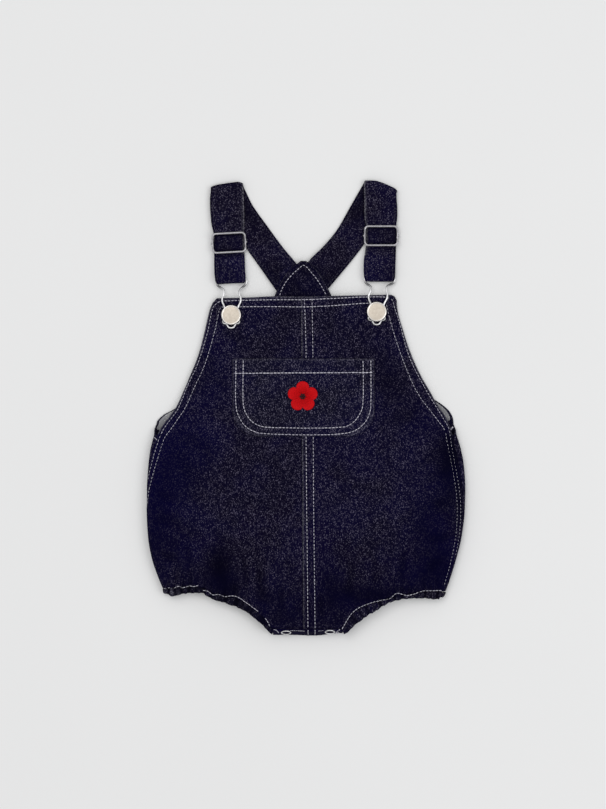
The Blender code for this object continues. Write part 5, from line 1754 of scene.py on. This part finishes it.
def slider_piece(side):
    h = HARDWARE[side]
    hx, hy, corner = 13.3, 7.8, 2.9
    outline = []
    for cx, cy, start in ((hx - corner, hy - corner, 0), (-hx + corner, hy - corner, 90),
                          (-hx + corner, -hy + corner, 180), (hx - corner, -hy + corner, 270)):
        for a in np.linspace(start, start + 90, 7):
            outline.append((cx + corner * math.cos(math.radians(a)),
                            cy + corner * math.sin(math.radians(a))))
    ring_pts = []
    for k, (x, y) in enumerate(outline):
        ring_pts.append((x, y))
        nx, ny = outline[(k + 1) % len(outline)]
        gap = math.hypot(nx - x, ny - y)
        for q in range(1, int(gap / 0.9)):
            t = q / int(gap / 0.9)
            ring_pts.append((x + (nx - x) * t, y + (ny - y) * t))
    P = []
    for x, y in ring_pts:
        z = 4.8 if abs(y) > hy - 1.6 else 3.2 + 1.6 * smooth((abs(y) - 1.8) / (hy - 3.4))
        P.append((x, y, z))
    v, f = tube(P, 0.90, ring=14)
    verts, faces = [tuple(p) for p in v], list(f)
    bar = [(x, 0.0, 2.75) for x in np.linspace(-14.9, 14.9, 60)]
    radii = [0.70 + 0.38 * smooth((abs(p[0]) - 13.6) / 0.5)
             * (1 - 0.75 * smooth((abs(p[0]) - 14.5) / 0.5)) for p in bar]
    v, f = tube(bar, radii, ring=12, cyclic=False)
    faces += [tuple(len(verts) + k for k in face) for face in f]
    verts += [tuple(p) for p in v]
    turn = math.radians(h["slider_turn"])
    c, s = math.cos(turn), math.sin(turn)
    sx, sy = h["slider"]
    placed = [(sx + c * x - s * y, sy + s * x + c * y, z) for x, y, z in verts]
    return new_object("slider_" + side + "_wire", placed, faces, [SLIDER])


BUTTON = [
    (0.0, 0.6), (3.4, 0.6), (3.45, 0.85), (3.3, 1.1), (2.5, 1.3), (2.3, 1.6), (2.3, 3.0),
    (4.0, 3.0), (7.2, 3.02), (7.75, 3.2), (8.05, 3.55), (8.1, 4.0), (8.05, 4.5), (7.85, 4.85),
    (7.5, 5.02), (7.15, 5.0), (6.95, 4.84), (6.8, 4.74), (6.5, 4.76), (5.0, 4.92), (3.0, 5.05),
    (1.2, 5.1), (0.0, 5.11),
]


def button_piece(side):
    x, y = HARDWARE[side]["button"]
    hit, up = above(front_tree, x, y)
    verts, faces = turned(BUTTON, 48)
    z0 = hit.z - 0.05
    lean = 0.04 if side == "right" else -0.03
    placed = [(x + px, y + py, z0 + pz + lean * px * 0.5) for px, py, pz in verts]
    index = []
    for face in faces:
        r = max(math.hypot(verts[k][0], verts[k][1]) for k in face)
        z = min(verts[k][2] for k in face)
        index.append(0 if r < 6.85 and z > 4.0 else 1)
    return new_object("button_" + side + "_cap", placed, faces, [CAP, RIM], index)


clasp_right, clasp_left = clasp_piece("right"), clasp_piece("left")
slider_right, slider_left = slider_piece("right"), slider_piece("left")
button_right, button_left = button_piece("right"), button_piece("left")


def snap_piece(side):
    """Open ring snap on the steep face of the front crotch facing."""
    a, b = Vector((0, *CROTCH_FRONT[2])), Vector((0, *CROTCH_FRONT[4]))
    face = (b - a).normalized()
    out = Vector((0, face.z, -face.y))
    if out.y > 0:
        out = -out
    middle = a + (b - a) * 0.2 + out * 1.15
    middle.y += crotch_wave(SNAPS[side], middle.y)
    section = [(3.2 + 0.50 * (1 - math.cos(t)), -0.45 + 0.55 * math.sin(t))
               for t in np.linspace(0.0, math.pi, 12)]
    section.append((3.2, -0.45))
    verts, faces = [], []
    count = 40
    n = len(section) - 1
    tilt = math.atan2(-out.y, out.z) - 0.10
    for q in range(count):
        ang = 2 * math.pi * q / count
        for r, h in section[:-1]:
            x, y, z = r * math.cos(ang), r * math.sin(ang), h
            verts.append((SNAPS[side] + x, middle.y + y * math.cos(tilt) - z * math.sin(tilt),
                          middle.z + y * math.sin(tilt) + z * math.cos(tilt)))
    for q in range(count):
        w = (q + 1) % count
        for k in range(n):
            m = (k + 1) % n
            faces.append((q * n + k, q * n + m, w * n + m, w * n + k))
    return new_object("snap_" + side + "_ring", verts, faces, [NICKEL])


snap_right, snap_left = snap_piece("right"), snap_piece("left")

# ---------------------------------------------------- pieces and their cloth
PIECES = [
    (front_right, "denim", ["front_right"]), (front_left, "denim", ["front_left"]),
    (back_right, "denim", ["back_right"]), (back_left, "denim", ["back_left"]),
    (facing, "denim", ["back_facing"]), (pocket, "denim", ["pocket"]),
    (flower, "embroidery", ["flower_patch"]), (knots, "embroidery", []),
    (strap_right, "strap_denim", ["strap_right"]), (strap_left, "strap_denim", ["strap_left"]),
    (band_right, "band_denim", ["leg_band_right"]), (band_left, "band_denim", ["leg_band_left"]),
    (crotch_front, "denim", ["crotch_front"]), (crotch_back, "denim", ["crotch_back"]),
    (front_thread, None, []), (pocket_thread, None, []), (back_thread, None, []),
    (facing_thread, None, []), (crotch_thread, None, []), (strap_thread, None, []),
    (clasp_right, "nickel", ["clasp_right"]), (clasp_left, "nickel", ["clasp_left"]),
    (slider_right, "nickel", ["slider_right"]), (slider_left, "nickel", ["slider_left"]),
    (button_right, "button_metal", ["button_right"]), (button_left, "button_metal", ["button_left"]),
    (snap_right, "nickel", ["snap_right"]), (snap_left, "nickel", ["snap_left"]),
]
for obj, slot_name, nodes in PIECES:
    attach(obj, "root")
    if nodes:
        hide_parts(*nodes)


# ---------------------------------------------------------------- floor, light
def floor_piece():
    bm = bmesh.new()
    bmesh.ops.create_grid(bm, x_segments=8, y_segments=8, size=4.0)
    mesh = bpy.data.meshes.new("floor")
    bm.to_mesh(mesh)
    bm.free()
    obj = bpy.data.objects.new("floor", mesh)
    obj.location = (0.0, 0.0, -0.0002)
    scene.collection.objects.link(obj)
    mat, tree, bsdf = graph("pale_paper")
    n = noise(tree, coords(tree), 0.004, 2.0)
    tree.links.new(mix_colour(tree, n, (0.80, 0.80, 0.80), (0.82, 0.82, 0.82)),
                   bsdf.inputs["Base Color"])
    bsdf.inputs["Roughness"].default_value = 0.95
    bsdf.inputs["Specular IOR Level"].default_value = 0.05
    mesh.materials.append(mat)
    return obj


floor = floor_piece()
world = bpy.data.worlds.new("studio")
scene.world = world
world.use_nodes = True
background = world.node_tree.nodes["Background"]
background.inputs["Color"].default_value = (0.985, 0.99, 0.995, 1.0)
background.inputs["Strength"].default_value = 0.70


def area_light(name, at, size, power, colour):
    data = bpy.data.lights.new(name, "AREA")
    data.shape = "RECTANGLE"
    data.size, data.size_y = size
    data.energy = power
    data.color = colour
    obj = bpy.data.objects.new(name, data)
    obj.location = at
    direction = Vector((0, 0, 0)) - Vector(at)
    obj.rotation_euler = direction.to_track_quat("-Z", "Y").to_euler()
    scene.collection.objects.link(obj)
    return obj


area_light("key", (-1.1, 1.2, 3.4), (2.4, 2.4), 32.0, (1.0, 0.99, 0.98))
area_light("fill", (1.7, -0.4, 1.9), (1.4, 1.4), 12.0, (0.98, 0.99, 1.0))
